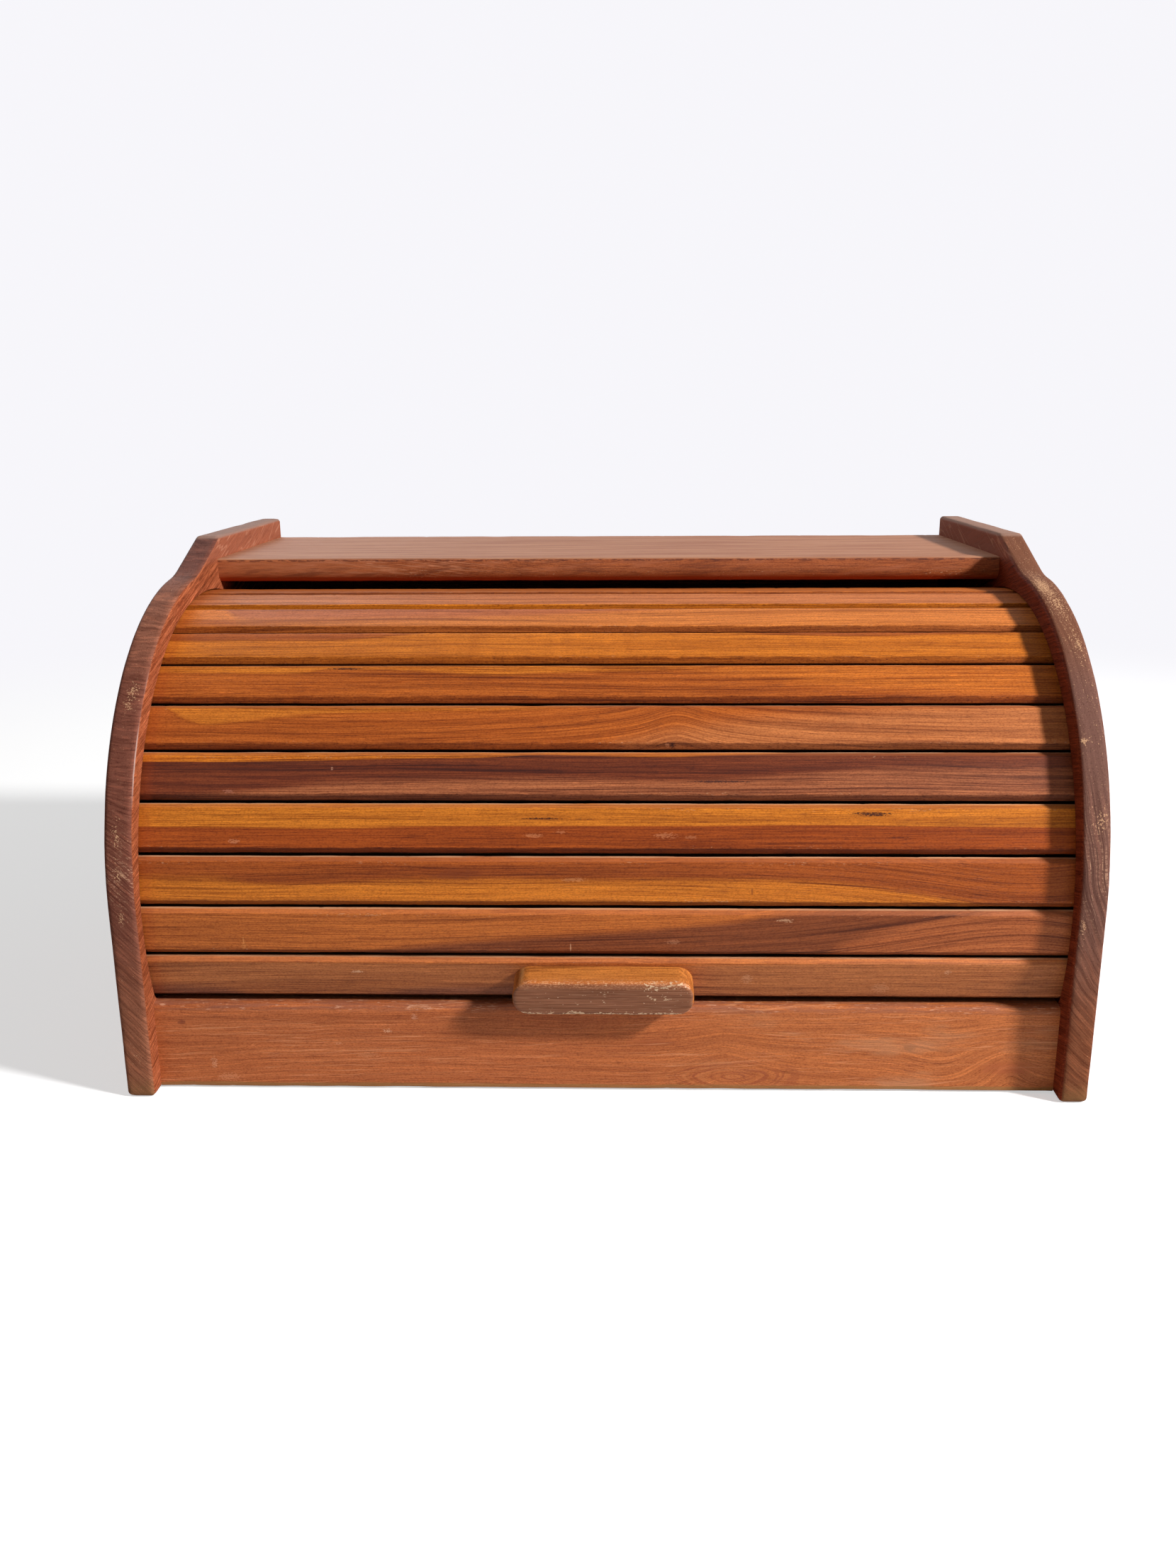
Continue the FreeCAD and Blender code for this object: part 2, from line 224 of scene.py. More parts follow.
def teak(name, look):
    # A look's patches are bands of another colour above a drawn edge, or below it with side -1.
    # Its marks are (along, across, length, height, colour, amount) and, for some, raggedness.
    look = {**teakUsual, **look}
    finish = Finish(bpy.data.materials.new(name))
    if "grainFrom" in look:
        parts = dict(zip("xyz", finish.split(finish.node("ShaderNodeTexCoord", {}, {}, "Object"))))
        along, across, depth = [parts[letter] * 1000 for letter in look["grainFrom"]]
    else:
        along, across, depth = finish.split(finish.layer("grain", "Vector"))
    run = along + look["seed"] * seedSpread

    # Growth layers: height across the board, bent by slow waves, knots and arches
    drift = finish.noise(run * 0.006, across * 0.02, depth * 0.02, 1.0)
    ring = across + depth * look["tilt"] + (drift - 0.5) * look["bend"]
    if look["slope"]:
        ring = ring - along * look["slope"]
    for arch in look["arches"]:
        lift = finish.dome(along, arch["at"], arch["width"]) * arch["rise"]
        if "level" in arch:
            lift = lift * finish.dome(across, arch["level"], arch["reach"])
        ring = ring - lift
    streak, line, fibre = [
        finish.noise(run * x, ring * y, depth * z, detail, roughness)
        for x, y, z, detail, roughness in grainNoise.values()
    ]
    pore = finish.noise(run * 0.12 + 40.0, ring * 2.8, depth * 2.0, 1.0, 0.6)
    fleck = finish.noise(run * 0.10 - 70.0, ring * 2.6 + 9.0, depth * 2.0, 1.0, 0.6)
    grit = finish.noise(run * 1.1, across * 2.1, depth * 2.1, 1.0)

    colour = paint(look["colour"])
    seams = None
    for patch in look["patches"]:
        patch = {**patchUsual, **patch}
        edge = finish.curve(along, *edgeFrame, patch["edge"])
        wander = (streak - 0.5) * patch["wander"] + (line - 0.5) * patch["feather"]
        above = (across - edge + wander) * patch["side"]
        cover = finish.rise(above, -patch["soft"], patch["soft"], patch["amount"])
        colour = finish.coat(colour, (cover, patch["colour"]))
        if patch["seam"]:
            dark = finish.rise(abs(above + 0.35), 0.8, 0.1, patch["seam"])
            seams = dark if seams is None else seams + dark

    # Broad darker and lighter streaks, seams, thin growth lines, then fibres and open pores
    streaks, lines, fibres = look["streaks"], look["lines"], look["fibres"]
    masks = [
        (finish.rise(streak, 0.50, 0.70, streaks), "deep"),
        (finish.rise(streak, 0.48, 0.30, 0.6 * streaks), "glow"),
    ]
    if seams is not None:
        masks.append((seams, "deep"))
    crowd = finish.rise(streak, 0.38, 0.60, 0.75) + 0.25
    masks += [
        (finish.rise(line, 0.56, 0.62, lines) * crowd, "dark"),
        (finish.rise(line, 0.43, 0.33, look.get("paleLines", lines * 0.7)), "glow"),
    ]
    for level, tint in veinLevels.items():
        vein = finish.rise(abs(streak - level), 0.022, 0.004, look["veins"])
        masks.append((vein * (line + 0.35), tint))
    masks += [
        (finish.rise(fibre, 0.52, 0.60, fibres), "deep"),
        (finish.rise(fibre, 0.46, 0.36, fibres * 0.8), "glow"),
        (finish.rise(grit, 0.50, 0.72, 0.6), "deep"),
        (finish.rise(grit, 0.48, 0.28, 0.5), "glow"),
    ]
    if "figure" in look:
        curl = finish.noise(run * 0.10, across * 0.03 + 3.0, 0.0, 1.0)
        gate = finish.dome(along, *look["figure"])
        masks += [
            (finish.rise(curl, 0.50, 0.74) * gate * 0.35, "deep"),
            (finish.rise(curl, 0.50, 0.30) * gate * 0.5, "glow"),
        ]
    holes = finish.rise(pore, 0.60, 0.68, look["pores"])
    masks += [(holes, "pore"), (finish.rise(fleck, 0.64, 0.70, look["flecks"]), "fleck")]
    colour = finish.stain(colour, *[(mask, teakTints[tint]) for mask, tint in masks])
    for x, y, length, tall, over, amount, *ragged in look["marks"]:
        reachX = (along - x) / length
        reachY = (across - y + (streak - 0.5) * 3.0) / tall
        ragged = (fibre + grit - 1.0) * (ragged[0] if ragged else markRagged) * 1.6
        inside = finish.rise(reachX * reachX + reachY * reachY + ragged, 1.1, 0.2)
        colour = finish.coat(colour, (inside * amount, over))

    roughness = look["roughness"] + (streak - 0.5) * 0.16 + holes * 0.2
    height = (fibre - 0.5) * 0.05 - holes * 0.08 + (line - 0.5) * 0.05 + (grit - 0.5) * 0.02
    if "wear" in look:
        wearAndHighlight = look["wear"](finish, run, across, depth)
        colour = finish.coat(colour, (wearAndHighlight, teakWorn))
        roughness = roughness + wearAndHighlight * 0.2
        height = height - wearAndHighlight * 0.08
    if "shade" in look:
        colour = look["shade"](finish, colour, run, along, across, depth)
    return finish.surface(colour, roughness, height, Specular_IOR_Level=look["gloss"])


def arrisWear(finish, run, across, depth):
    # Pale rubbed places, thick on the arrises and rare elsewhere
    edge = finish.layer("arris")
    patches = finish.noise(run * 0.022, across * 0.08, depth * 0.08, 2.0)
    chips = finish.noise(run * 0.7, across * 1.6, depth * 1.6, 2.0, 0.6)
    rubbed = finish.rise((patches - 0.5) * 0.55 + chips, 0.66, 0.78, 0.6)
    return rubbed * finish.rise(edge, 0.3, 0.95)


def slatWear(finish, run, across, depth):
    # A thin rubbed line along the upper arris, and a few chips on the others
    ease = finish.noise(run * 0.03, 4.0, 1.0, 2.0, 0.6)
    upper = finish.rise(across, 9.9, 10.3) * finish.rise(depth, 4.8, 5.3)
    rubbed = arrisWear(finish, run, across, depth) * 0.5
    return rubbed + upper * finish.rise(ease, 0.25, 0.55, 0.65)


def slatEdges(finish, colour, run, along, across, depth):
    # Painted shade in the gaps: near black on the narrow faces, darker and torn on the chamfer
    # that looks down. A painted highlight makes the chamfer that looks up paler.
    torn = finish.noise(run * 0.10, across * 0.7, depth * 0.7, 3.0, 0.65)
    nick = finish.noise(run * 0.55, across * 1.4, depth * 1.4, 2.0, 0.6)
    # Painted highlight: the chamfer that looks up is paler
    colour = finish.coat(colour, (finish.rise(across, 8.3, 8.9, 0.30), (196, 116, 74)))
    # Painted shade: the chamfer that looks down is darker, with a torn edge
    below = finish.rise(-1.0 * across + (torn - 0.5) * 2.2, 8.2, 8.9, 0.80)
    rip = finish.rise(-1.0 * across + (torn - 0.5) * 2.0, 7.6, 8.4)
    rip = rip * finish.rise(nick, 0.58, 0.68, 0.6)
    colour = finish.stain(colour, (below, (0.40, 0.31, 0.25)), (rip, (0.35, 0.28, 0.24)))
    ends = finish.rise(along + (torn - 0.5) * 3.0, -192.0, -194.5, 0.16)
    # Painted shade: the narrow faces in the gaps are near black
    gap = finish.rise(depth, 5.9, 5.2) * finish.rise(abs(across), 10.1, 10.5)
    return finish.coat(colour, (ends, (150, 66, 36)), (gap, (30, 15, 8)))


def ripple(x, y, z):
    return noise.noise(Vector((x, y, z)))


def sectionRing(corners, rows, arcSteps=3):
    # Points round a section with rounded corners: place, outward direction, arris weight, side
    ring = []
    turns = []
    for index, (x, y, radius) in enumerate(corners):
        here = Vector((x, y))
        into = (here - Vector(corners[index - 1][:2])).normalized()
        out = (Vector(corners[(index + 1) % len(corners)][:2]) - here).normalized()
        turn = math.atan2(into.x * out.y - into.y * out.x, into.dot(out))
        trim = radius * math.tan(abs(turn) / 2)
        turns.append((here - into * trim, here + out * trim, into, out, turn, radius))
    for index, (start, end, into, out, turn, radius) in enumerate(turns):
        outward = Vector((into.y, -into.x))
        after = Vector((out.y, -out.x))
        if radius <= 0:
            ring.append((start, (outward + after).normalized(), 0.0, index))
        else:
            centre = start - outward * radius
            for step in range(arcSteps + 1):
                swung = Matrix.Rotation(turn * step / arcSteps, 2) @ outward
                ring.append((centre + swung * radius, swung, 1.0, index))
        following = turns[(index + 1) % len(turns)][0]
        for row in range(1, rows[index] + 1):
            ring.append((end.lerp(following, row / (rows[index] + 1)), after, 0.0, index))
    return ring


def tubeFaces(size, rings, capped=True):
    # Faces of a closed tube whose points come ring by ring
    faces = []
    if capped:
        last = (rings - 1) * size
        faces = [tuple(reversed(range(size))), tuple(range(last, last + size))]
    for low in range(0, (rings - 1) * size, size):
        for index in range(size):
            after = (index + 1) % size
            faces.append((low + index, low + after, low + size + after, low + size + index))
    return faces


def makeMesh(name, points, faces, unit=millimetre):
    mesh = bpy.data.meshes.new(name)
    mesh.from_pydata([Vector(point) * unit for point in points], [], faces)
    piece = bpy.data.objects.new(name, mesh)
    scene.collection.objects.link(piece)
    return piece


creaseAngle = 32  # degrees; an edge that turns more stays crisp


def dress(piece, grain, arris, rim=None):
    # What the wood shader reads: grain axes in millimetres, and how near an arris or a rim is
    mesh = piece.data
    layer = mesh.attributes.new("grain", "FLOAT_VECTOR", "POINT")
    layer.data.foreach_set("vector", [value for place in grain for value in place])
    for name, values in (("arris", arris), ("rim", rim)):
        if values is not None:
            mesh.attributes.new(name, "FLOAT", "POINT").data.foreach_set("value", values)
    mesh.polygons.foreach_set("use_smooth", [True] * len(mesh.polygons))
    mesh.set_sharp_from_angle(angle=math.radians(creaseAngle))
    return piece


def arrisLoss(rub, nick, wear):
    # How much of an arris has gone, from a slow ripple and a quick one
    spread, rarity, chips = wear
    return max(0.0, rub + spread) + chips * max(0.0, nick - rarity)


boardWear = {
    "wave": 0.021,  # ripples per millimetre along a board
    "rub": 0.06,
    "nick": 0.45,
    "rip": 0.30,
    "tornStretch": 0.018,
    "fade": 3.0,  # millimetres at each end that keep their true section
    "arris": (0.15, 0.42, 2.2),  # how far rubs spread, how rare chips are, and their depth
}


def sweptBoard(name, shape, place=None):
    # A board of one section along X, slightly uneven and with its arrises worn
    ring = sectionRing(shape["corners"], shape["rows"])
    half = shape["half"]
    stations = max(2, round(2 * half / shape["step"]))
    points, grain, arris = [], [], []
    seed = shape["seed"]
    tear = shape.get("tear", {})
    for station in range(stations + 1):
        x = -half + 2 * half * station / stations
        fade = min(1.0, (half - abs(x)) / boardWear["fade"])
        for spot, outward, weight, side in ring:
            wave = ripple(x * boardWear["wave"], spot.x * 0.05 + seed, spot.y * 0.05)
            sunk = shape["uneven"] * (0.5 + 0.5 * wave)
            if weight:
                rub = ripple(x * boardWear["rub"], seed * 3.1, side * 7.3)
                nick = ripple(x * boardWear["nick"], seed * 5.7, side * 3.9)
                sunk += shape["rub"] * arrisLoss(rub, nick, boardWear["arris"])
            elif side in tear:
                rip = ripple(x * boardWear["rip"], spot.x * 1.3 + seed * 9.1, spot.y)
                gate = ripple(x * boardWear["tornStretch"], seed * 2.3, 5.0)
                sunk += tear[side] * max(0.0, rip) * max(0.0, gate + 0.35)
            moved = spot - outward * sunk * fade
            points.append((x, moved.x, moved.y))
            grain.append((x, moved.y, moved.x) if shape.get("upright") else points[-1])
            arris.append(weight)
    if place is not None:
        points = [place @ Vector(point) for point in points]
    faces = tubeFaces(len(ring), stations + 1)
    return dress(makeMesh(name, points, faces), grain, arris)


def finishPiece(piece, body, node, material):
    piece.data.materials.append(material)
    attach(piece, body)
    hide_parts(node)
    return piece


view = {
    "place": (0.00651, -0.65327, 0.28629),  # metres
    "pitch": 15.529,
    "yaw": -1.394,
    "roll": -0.313,
    "lens": 29.947,
    "sensor": 36.0,
}


def makeCamera():
    pitch, yaw, roll = [math.radians(view[key]) for key in ("pitch", "yaw", "roll")]
    level = Vector((math.sin(yaw), math.cos(yaw), 0))
    ahead = level * math.cos(pitch) - Vector((0, 0, math.sin(pitch)))
    right = Vector((math.cos(yaw), -math.sin(yaw), 0))
    up = right.cross(ahead)
    rolledRight = right * math.cos(roll) + up * math.sin(roll)
    rolledUp = up * math.cos(roll) - right * math.sin(roll)
    camera = bpy.data.objects.new("camera", bpy.data.cameras.new("camera"))
    camera.data.lens = view["lens"]
    camera.data.sensor_width = view["sensor"]
    camera.data.clip_start, camera.data.clip_end = 0.01, 100
    turned = Matrix((rolledRight, rolledUp, -ahead)).transposed().to_4x4()
    camera.matrix_world = Matrix.Translation(view["place"]) @ turned
    scene.collection.objects.link(camera)
    scene.camera = camera


makeCamera()
print("camera in place")

stage = {  # in metres
    "floorSize": 60.0,
    "floorColour": (0.72, 0.72, 0.72),
    "floorLift": (0.50, 0.50, 0.50),  # what the camera sees over its lit colour, to be white
    "backdrop": (0.93, 0.922, 0.96),
    "fade": (0.6, 1.3),  # where the floor turns into the backdrop
    "fillColour": (1.0, 0.99, 0.975),
    "fill": 0.09,
    "target": (0, 0, 0.12),
    "lamps": {
        "key": {"place": (1.75, -0.84, 1.28), "size": 0.26, "power": 74.0},
        "front": {"place": (-0.9, -2.0, 1.5), "size": 1.6, "power": 3.5},
        "back": {"place": (-1.1, 1.7, 1.4), "size": 1.6, "power": 12.0},
    },
}


def makeStage():
    half = stage["floorSize"] / 2
    corners = [(-half, -half, 0), (half, -half, 0), (half, half, 0), (-half, half, 0)]
    floor = makeMesh("floor", corners, [(0, 1, 2, 3)], unit=1.0)

    # Lit paper, brighter to the camera, that turns into the backdrop far away
    paper = Finish(bpy.data.materials.new("palePaper"))
    lit = paper.principled((*stage["floorColour"], 1.0), 0.9, Specular_IOR_Level=0.0)
    place = paper.node("ShaderNodeTexCoord", {}, {}, "Object")
    away = paper.node("ShaderNodeVectorMath", {"operation": "LENGTH"}, {0: place}, "Value")
    lift, far = [
        paper.node("ShaderNodeEmission", {}, {"Color": (*stage[key], 1.0)})
        for key in ("floorLift", "backdrop")
    ]
    lifted = paper.node("ShaderNodeAddShader", {}, {0: lit, 1: lift})
    fade = paper.rise(away, *stage["fade"])
    faded = paper.node("ShaderNodeMixShader", {}, {0: fade, 1: lifted, 2: far})
    seen = paper.node("ShaderNodeLightPath", {}, {}, "Is Camera Ray")
    choice = paper.node("ShaderNodeMixShader", {}, {0: seen, 1: lit, 2: faded})
    paper.node("ShaderNodeOutputMaterial", {}, {"Surface": choice})
    floor.data.materials.append(paper.owner)

    # The camera and reflections see the backdrop, and the box is lit by a dim fill
    air = Finish(bpy.data.worlds.new("studio"))
    scene.world = air.owner
    colour = (*stage["fillColour"], 1.0)
    fill = air.node("ShaderNodeBackground", {}, {"Color": colour, "Strength": stage["fill"]})
    backdrop = air.node("ShaderNodeBackground", {}, {"Color": (*stage["backdrop"], 1.0)})
    seen = air.node("ShaderNodeLightPath", {}, {}, "Is Camera Ray")
    mirrored = air.node("ShaderNodeLightPath", {}, {}, "Is Glossy Ray")
    either = air.maths("MAXIMUM", seen, mirrored)
    choice = air.node("ShaderNodeMixShader", {}, {0: either, 1: fill, 2: backdrop})
    air.node("ShaderNodeOutputWorld", {}, {"Surface": choice})

    for name, lamp in stage["lamps"].items():
        data = bpy.data.lights.new(name, "AREA")
        data.shape = "DISK"
        data.size = lamp["size"]
        data.energy = lamp["power"]
        light = bpy.data.objects.new(name, data)
        place = Vector(lamp["place"])
        turned = (Vector(stage["target"]) - place).to_track_quat("-Z", "Y").to_matrix().to_4x4()
        light.matrix_world = Matrix.Translation(place) @ turned
        scene.collection.objects.link(light)


makeStage()
scene.view_settings.view_transform = "Standard"
print("floor and lamps in place")

track = {
    "y": frame["joints"][0]["pos_m"][1] * 1000,
    "z": frame["joints"][0]["pos_m"][2] * 1000,
    "backRadius": 117.3,
    "pitchAngle": 10.43,
    "firstAngle": -12.65,
}
slatShape = {
    "corners": [
        (-10.65, 0.0, 0.0),
        (10.65, 0.0, 0.0),
        (10.65, 5.8, 0.5),
        (8.45, 8.0, 0.5),
        (-8.45, 8.0, 0.5),
        (-10.65, 5.8, 0.5),
    ],
    "rows": [0, 0, 2, 6, 3, 0],
    "half": 203.4,
    "step": 1.4,
    "uneven": 0.10,
    "rub": 0.22,
    "seedStep": 1.37,
}
slatTear = {"side": 4, "usual": 0.2, "deep": 0.5, "deepSlats": (6, 7, 8, 9)}  # lower chamfers

# From the lowest slat, which has the handle, up to the two that hide under the shelf
slatLooks = [
    {
        "colour": (172, 101, 55), "tilt": 0.5, "bend": 9.0, "streaks": 0.45, "lines": 0.4,
        "gloss": 0.26,
        "patches": [
            {"colour": (213, 121, 56), "soft": 0.8, "amount": 0.7, "wander": 5.0,
             "edge": [(-204, 8.4), (-60, 8.2), (30, 7.4), (110, 8.6), (204, 9.4)]},
            {"colour": (126, 72, 50), "side": -1.0, "soft": 2.4, "amount": 0.8, "wander": 5.0,
             "edge": [(-204, -3.4), (-166, -5.1), (-145, -10.2), (-105, -7.9), (-75, -4.6),
              (-40, -4), (20, -8), (204, -11)]},
        ],
        "marks": [
            (-107, 3.4, 2.4, 0.5, (224, 178, 140), 0.58),
            (62, 0.5, 2.0, 2.2, (206, 150, 112), 0.32, 4.0),
            (148, 4.0, 1.2, 1.4, (214, 160, 120), 0.43, 4.0),
            (120, -4.0, 3.5, 2.0, (196, 140, 104), 0.22, 4.0),
        ],
    },
    {
        "colour": (182, 99, 42), "tilt": 0.4, "bend": 6.0, "streaks": 0.45, "lines": 0.75,
        "gloss": 0.22,
        "patches": [
            {"colour": (126, 64, 33), "side": -1.0, "soft": 1.5, "amount": 0.95, "seam": 0.3,
             "edge": [(-105, -9.6), (-85, -7.0), (-48, -3.8), (-20, -1.6), (20, 1.4), (55, 5.0),
              (80, 9.0), (110, 11), (204, 12)]},
            {"colour": (180, 99, 53), "side": -1.0, "soft": 4.0, "amount": 0.8,
             "edge": [(-204, -22), (70, -20), (105, -4), (140, 6), (204, 12)]},
        ],
        "arches": [{"at": 175, "width": 70, "rise": 20.0}],
        "marks": [
            (-155, -6.4, 1.3, 1.5, (214, 140, 76), 0.36),
            (-155, -4.0, 0.35, 2.2, (222, 150, 84), 0.43, 0.6),
            (-14, -7.0, 0.35, 2.4, (222, 170, 130), 0.5, 0.4),
            (78, 6.0, 3.5, 0.6, (226, 178, 138), 0.43, 4.0),
            (30, -4.0, 3.0, 1.0, (198, 136, 100), 0.29),
        ],
    },
    {
        "colour": (155, 76, 28), "tilt": 0.7, "bend": 12.0, "streaks": 0.55, "lines": 0.5,
        "gloss": 0.2,
        "patches": [
            {"colour": (198, 113, 35), "side": -1.0, "soft": 2.2, "amount": 0.95, "wander": 6.0,
             "seam": 0.3,
             "edge": [(-204, 3.0), (-186, 1.3), (-166, 1.5), (-145, -1.0), (-130, -1.3),
              (-105, 0.0), (-85, 1.3), (-48, 1.5), (0, 1.0), (45, 1.6), (88, 0.5), (118, -3.0),
              (148, -7.5), (169, -10.5), (204, -12)]},
        ],
        "arches": [{"at": 178, "width": 60, "rise": -14.0}],
        "marks": [
            (-62, 3.4, 9.0, 2.2, (112, 50, 26), 0.6, 4.0),
            (-12, 1.2, 5.0, 1.0, (206, 148, 104), 0.25),
            (63, -4.0, 0.5, 1.8, (110, 52, 26), 0.6, 0.6),
        ],
    },
    {
        "colour": (153, 70, 22), "tilt": 0.3, "bend": 3.0, "streaks": 0.35, "lines": 0.3,
        "gloss": 0.18,
        "patches": [
            {"colour": (195, 112, 33), "soft": 0.45, "wander": 1.6, "seam": 0.45,
             "edge": [(-204, 0.4), (-156, 0.0), (-125, -0.2), (-85, 0.4), (-48, 0.7), (20, 0.6),
              (88, 1.2), (128, 1.0), (204, 0.7)]},
        ],
        "marks": [
            (-26, 4.2, 9.0, 0.45, (54, 20, 10), 0.95),
            (-8, 3.9, 5.0, 0.35, (84, 36, 16), 0.8),
            (113, 6.1, 7.5, 0.55, (60, 24, 12), 0.95),
            (124, -3.6, 4.5, 0.4, (80, 32, 18), 0.85),
            (-29, -2.6, 4.2, 1.1, (206, 134, 90), 0.4),
            (-18, -1.2, 2.6, 0.6, (206, 134, 90), 0.32),
            (26, -2.8, 5.0, 1.3, (206, 134, 92), 0.36),
            (37, -3.4, 2.4, 0.7, (200, 128, 86), 0.32),
            (-157, -6.0, 2.2, 1.2, (206, 142, 104), 0.36),
        ],
    },
    {
        "colour": (106, 47, 22), "tilt": 0.5, "bend": 8.0, "streaks": 0.8, "lines": 0.95,
        "paleLines": 0.9, "fibres": 0.95, "flecks": 0.6, "gloss": 0.2,
        "patches": [
            {"colour": (197, 110, 30), "soft": 0.4, "wander": 0.6, "seam": 0.6,
             "edge": [(-204, 5.7), (-166, 5.7), (-135, 6.1), (-105, 6.9), (-80, 7.4), (-48, 7.9),
              (-28, 9.1), (-8, 8.4), (22, 8.1), (53, 8.9), (73, 9.7), (93, 11.4), (204, 14)]},
            {"colour": (162, 95, 60), "side": -1.0, "soft": 3.0, "amount": 0.75, "wander": 9.0,
             "edge": [(-204, -13), (-156, -8.9), (-115, -4.5), (-85, -3.0), (-48, -2.5),
              (-18, -2.0), (22, -3.6), (53, -3.0), (83, 0.0), (109, 2.4), (150, 3.6),
              (204, 3.0)]},
        ],
        "marks": [
            (50, -3.1, 13.0, 0.5, (54, 26, 22), 0.9),
            (-116, 3.0, 0.5, 1.2, (206, 150, 120), 0.36, 4.0),
            (-160, -7.6, 2.2, 1.0, (190, 124, 100), 0.36),
        ],
    },
    {
        "colour": (174, 89, 33), "tilt": 0.4, "bend": 7.0, "streaks": 0.6, "lines": 0.5,
        "gloss": 0.16,
        "patches": [
            {"colour": (196, 112, 38), "soft": 1.5, "amount": 0.95, "seam": 0.5, "wander": 3.5,
             "edge": [(-204, 12), (-194, 11.0), (-191, 8.0), (-186, 4.8), (-178, 1.5),
              (-171, 0.2), (-164, 1.0), (-149, 2.6), (-131, 4.2), (-115, 5.3), (-85, 6.4),
              (-48, 6.9), (-28, 8.0), (-8, 9.8), (20, 12), (204, 14)]},
            {"colour": (184, 113, 67), "side": -1.0, "soft": 6.0, "amount": 0.7,
             "edge": [(-204, -22), (-20, -20), (10, -8), (60, 2), (204, 14)]},
        ],
        "arches": [{"at": 31, "width": 14, "rise": 7.0}, {"at": 40, "width": 50, "rise": 5.0}],
        "marks": [
            (29.5, -9.0, 1.5, 1.1, (64, 26, 14), 0.95),
            (27.3, -9.1, 0.9, 0.9, (206, 138, 98), 0.9),
        ],
    },
    {
        "colour": (168, 86, 32), "tilt": 0.3, "bend": 5.0, "streaks": 0.7, "lines": 0.9,
        "fibres": 0.85, "flecks": 0.55, "gloss": 0.14,
        "patches": [
            {"colour": (200, 115, 38), "soft": 1.3, "amount": 0.9, "seam": 0.5, "wander": 4.0,
             "edge": [(-204, 4.6), (-166, 4.4), (-135, 4.5), (-120, 6.8), (-109, 6.6), (-80, 5.4),
              (-48, 3.7), (-28, 4.5), (2, 5.4), (32, 6.5), (60, 9.0), (204, 12)]},
            {"colour": (192, 106, 39), "soft": 4.0, "amount": 0.75, "wander": 9.0, "feather": 5.0,
             "edge": [(-204, 24), (-10, 20), (30, 7), (73, 1), (109, -3.4), (150, -6),
              (204, -8)]},
        ],
        "marks": [
            (-114, 7.1, 8.0, 0.55, (50, 20, 10), 0.95),
            (-98, 6.4, 6.0, 0.4, (110, 50, 22), 0.7),
        ],
    },
    {
        "colour": (198, 112, 36), "tilt": 0.5, "bend": 9.0, "streaks": 0.45, "lines": 0.35,
        "gloss": 0.12, "figure": (-25, 70),
        "patches": [
            {"colour": (166, 84, 38), "soft": 1.0, "amount": 0.85, "seam": 0.8, "wander": 3.0,
             "edge": [(-204, 4.4), (-186, 3.4), (-164, 4.1), (-140, 3.7), (-118, 4.4),
              (-100, 6.4), (-80, 9.0), (-60, 12), (20, 13), (60, 9.5), (90, 7.0), (120, 6.4),
              (160, 8.0), (204, 9)]},
        ],
    },
    {
        "colour": (202, 117, 53), "tilt": 0.6, "bend": 10.0, "streaks": 0.6, "lines": 0.5,
        "gloss": 0.1,
        "patches": [
            {"colour": (172, 92, 55), "soft": 2.5, "amount": 0.8, "wander": 6.0, "seam": 0.2,
             "edge": [(-204, 12), (-186, 10.7), (-176, 3.9), (-164, -1.5), (-115, -0.8),
              (-48, 0.4), (-18, 3.2), (12, 6.2), (47, 9.7), (83, 12.0), (204, 14)]},
            {"colour": (210, 117, 44), "side": -1.0, "soft": 3.0, "amount": 0.7,
             "edge": [(-204, 14), (-180, 8), (-160, -9), (204, -14)]},
        ],
    },
    {
        "colour": (196, 115, 64), "tilt": 0.4, "bend": 6.0, "streaks": 0.5, "lines": 0.7,
        "gloss": 0.08,
        "patches": [
            {"colour": (216, 126, 35), "side": -1.0, "soft": 0.3,
             "edge": [(-204, -8.3), (204, -8.3)]},
        ],
    },
    {
        "colour": (188, 103, 42), "tilt": 0.5, "bend": 8.0, "streaks": 0.7,
    },
    {
        "colour": (170, 89, 37), "tilt": 0.5, "bend": 8.0, "streaks": 0.7,
    },
]


def slatPlace(number):
    # From a slat's own axes, X along it, Y up the track and Z out of its back, to the box
    angle = math.radians(90 - track["firstAngle"] - (number - 1) * track["pitchAngle"])
    turned = Matrix.Translation((0, track["y"], track["z"])) @ Matrix.Rotation(angle, 4, "X")
    return turned @ Matrix.Translation((0, 0, track["backRadius"]))


def makeSlats():
    for number, look in enumerate(slatLooks, 1):
        tear = slatTear["deep" if number in slatTear["deepSlats"] else "usual"]
        seed = number * slatShape["seedStep"]
        shape = {**slatShape, "seed": seed, "tear": {slatTear["side"]: tear}}
        name = "slat_%02d" % number
        look = {"seed": number, "wear": slatWear, "shade": slatEdges, **look}
        piece = sweptBoard(name + "_wood", shape, slatPlace(number))
        finishPiece(piece, "roll_top", name, teak("teakSlat%d" % number, look))


makeSlats()
print("slats made")

shelfLow, shelfHigh = [corner * 1000 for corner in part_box("shelf")]
shelfShape = {
    "corners": [
        (shelfLow.y, shelfLow.z, 5.5),
        (shelfHigh.y, shelfLow.z, 0.0),
        (shelfHigh.y, shelfHigh.z, 0.8),
        (shelfLow.y, shelfHigh.z, 0.8),
    ],
    "rows": [6, 2, 24, 3],
    "half": shelfHigh.x,
    "step": 1.6,
    "uneven": 0.12,
    "rub": 0.25,
    "seed": 31.0,
}
shelfLook = {
    "colour": (160, 86, 46), "seed": 21, "tilt": 0.4, "bend": 18.0, "streaks": 0.45, "lines": 0.3,
    "veins": 0.15, "gloss": 0.3, "roughness": 0.62,
}


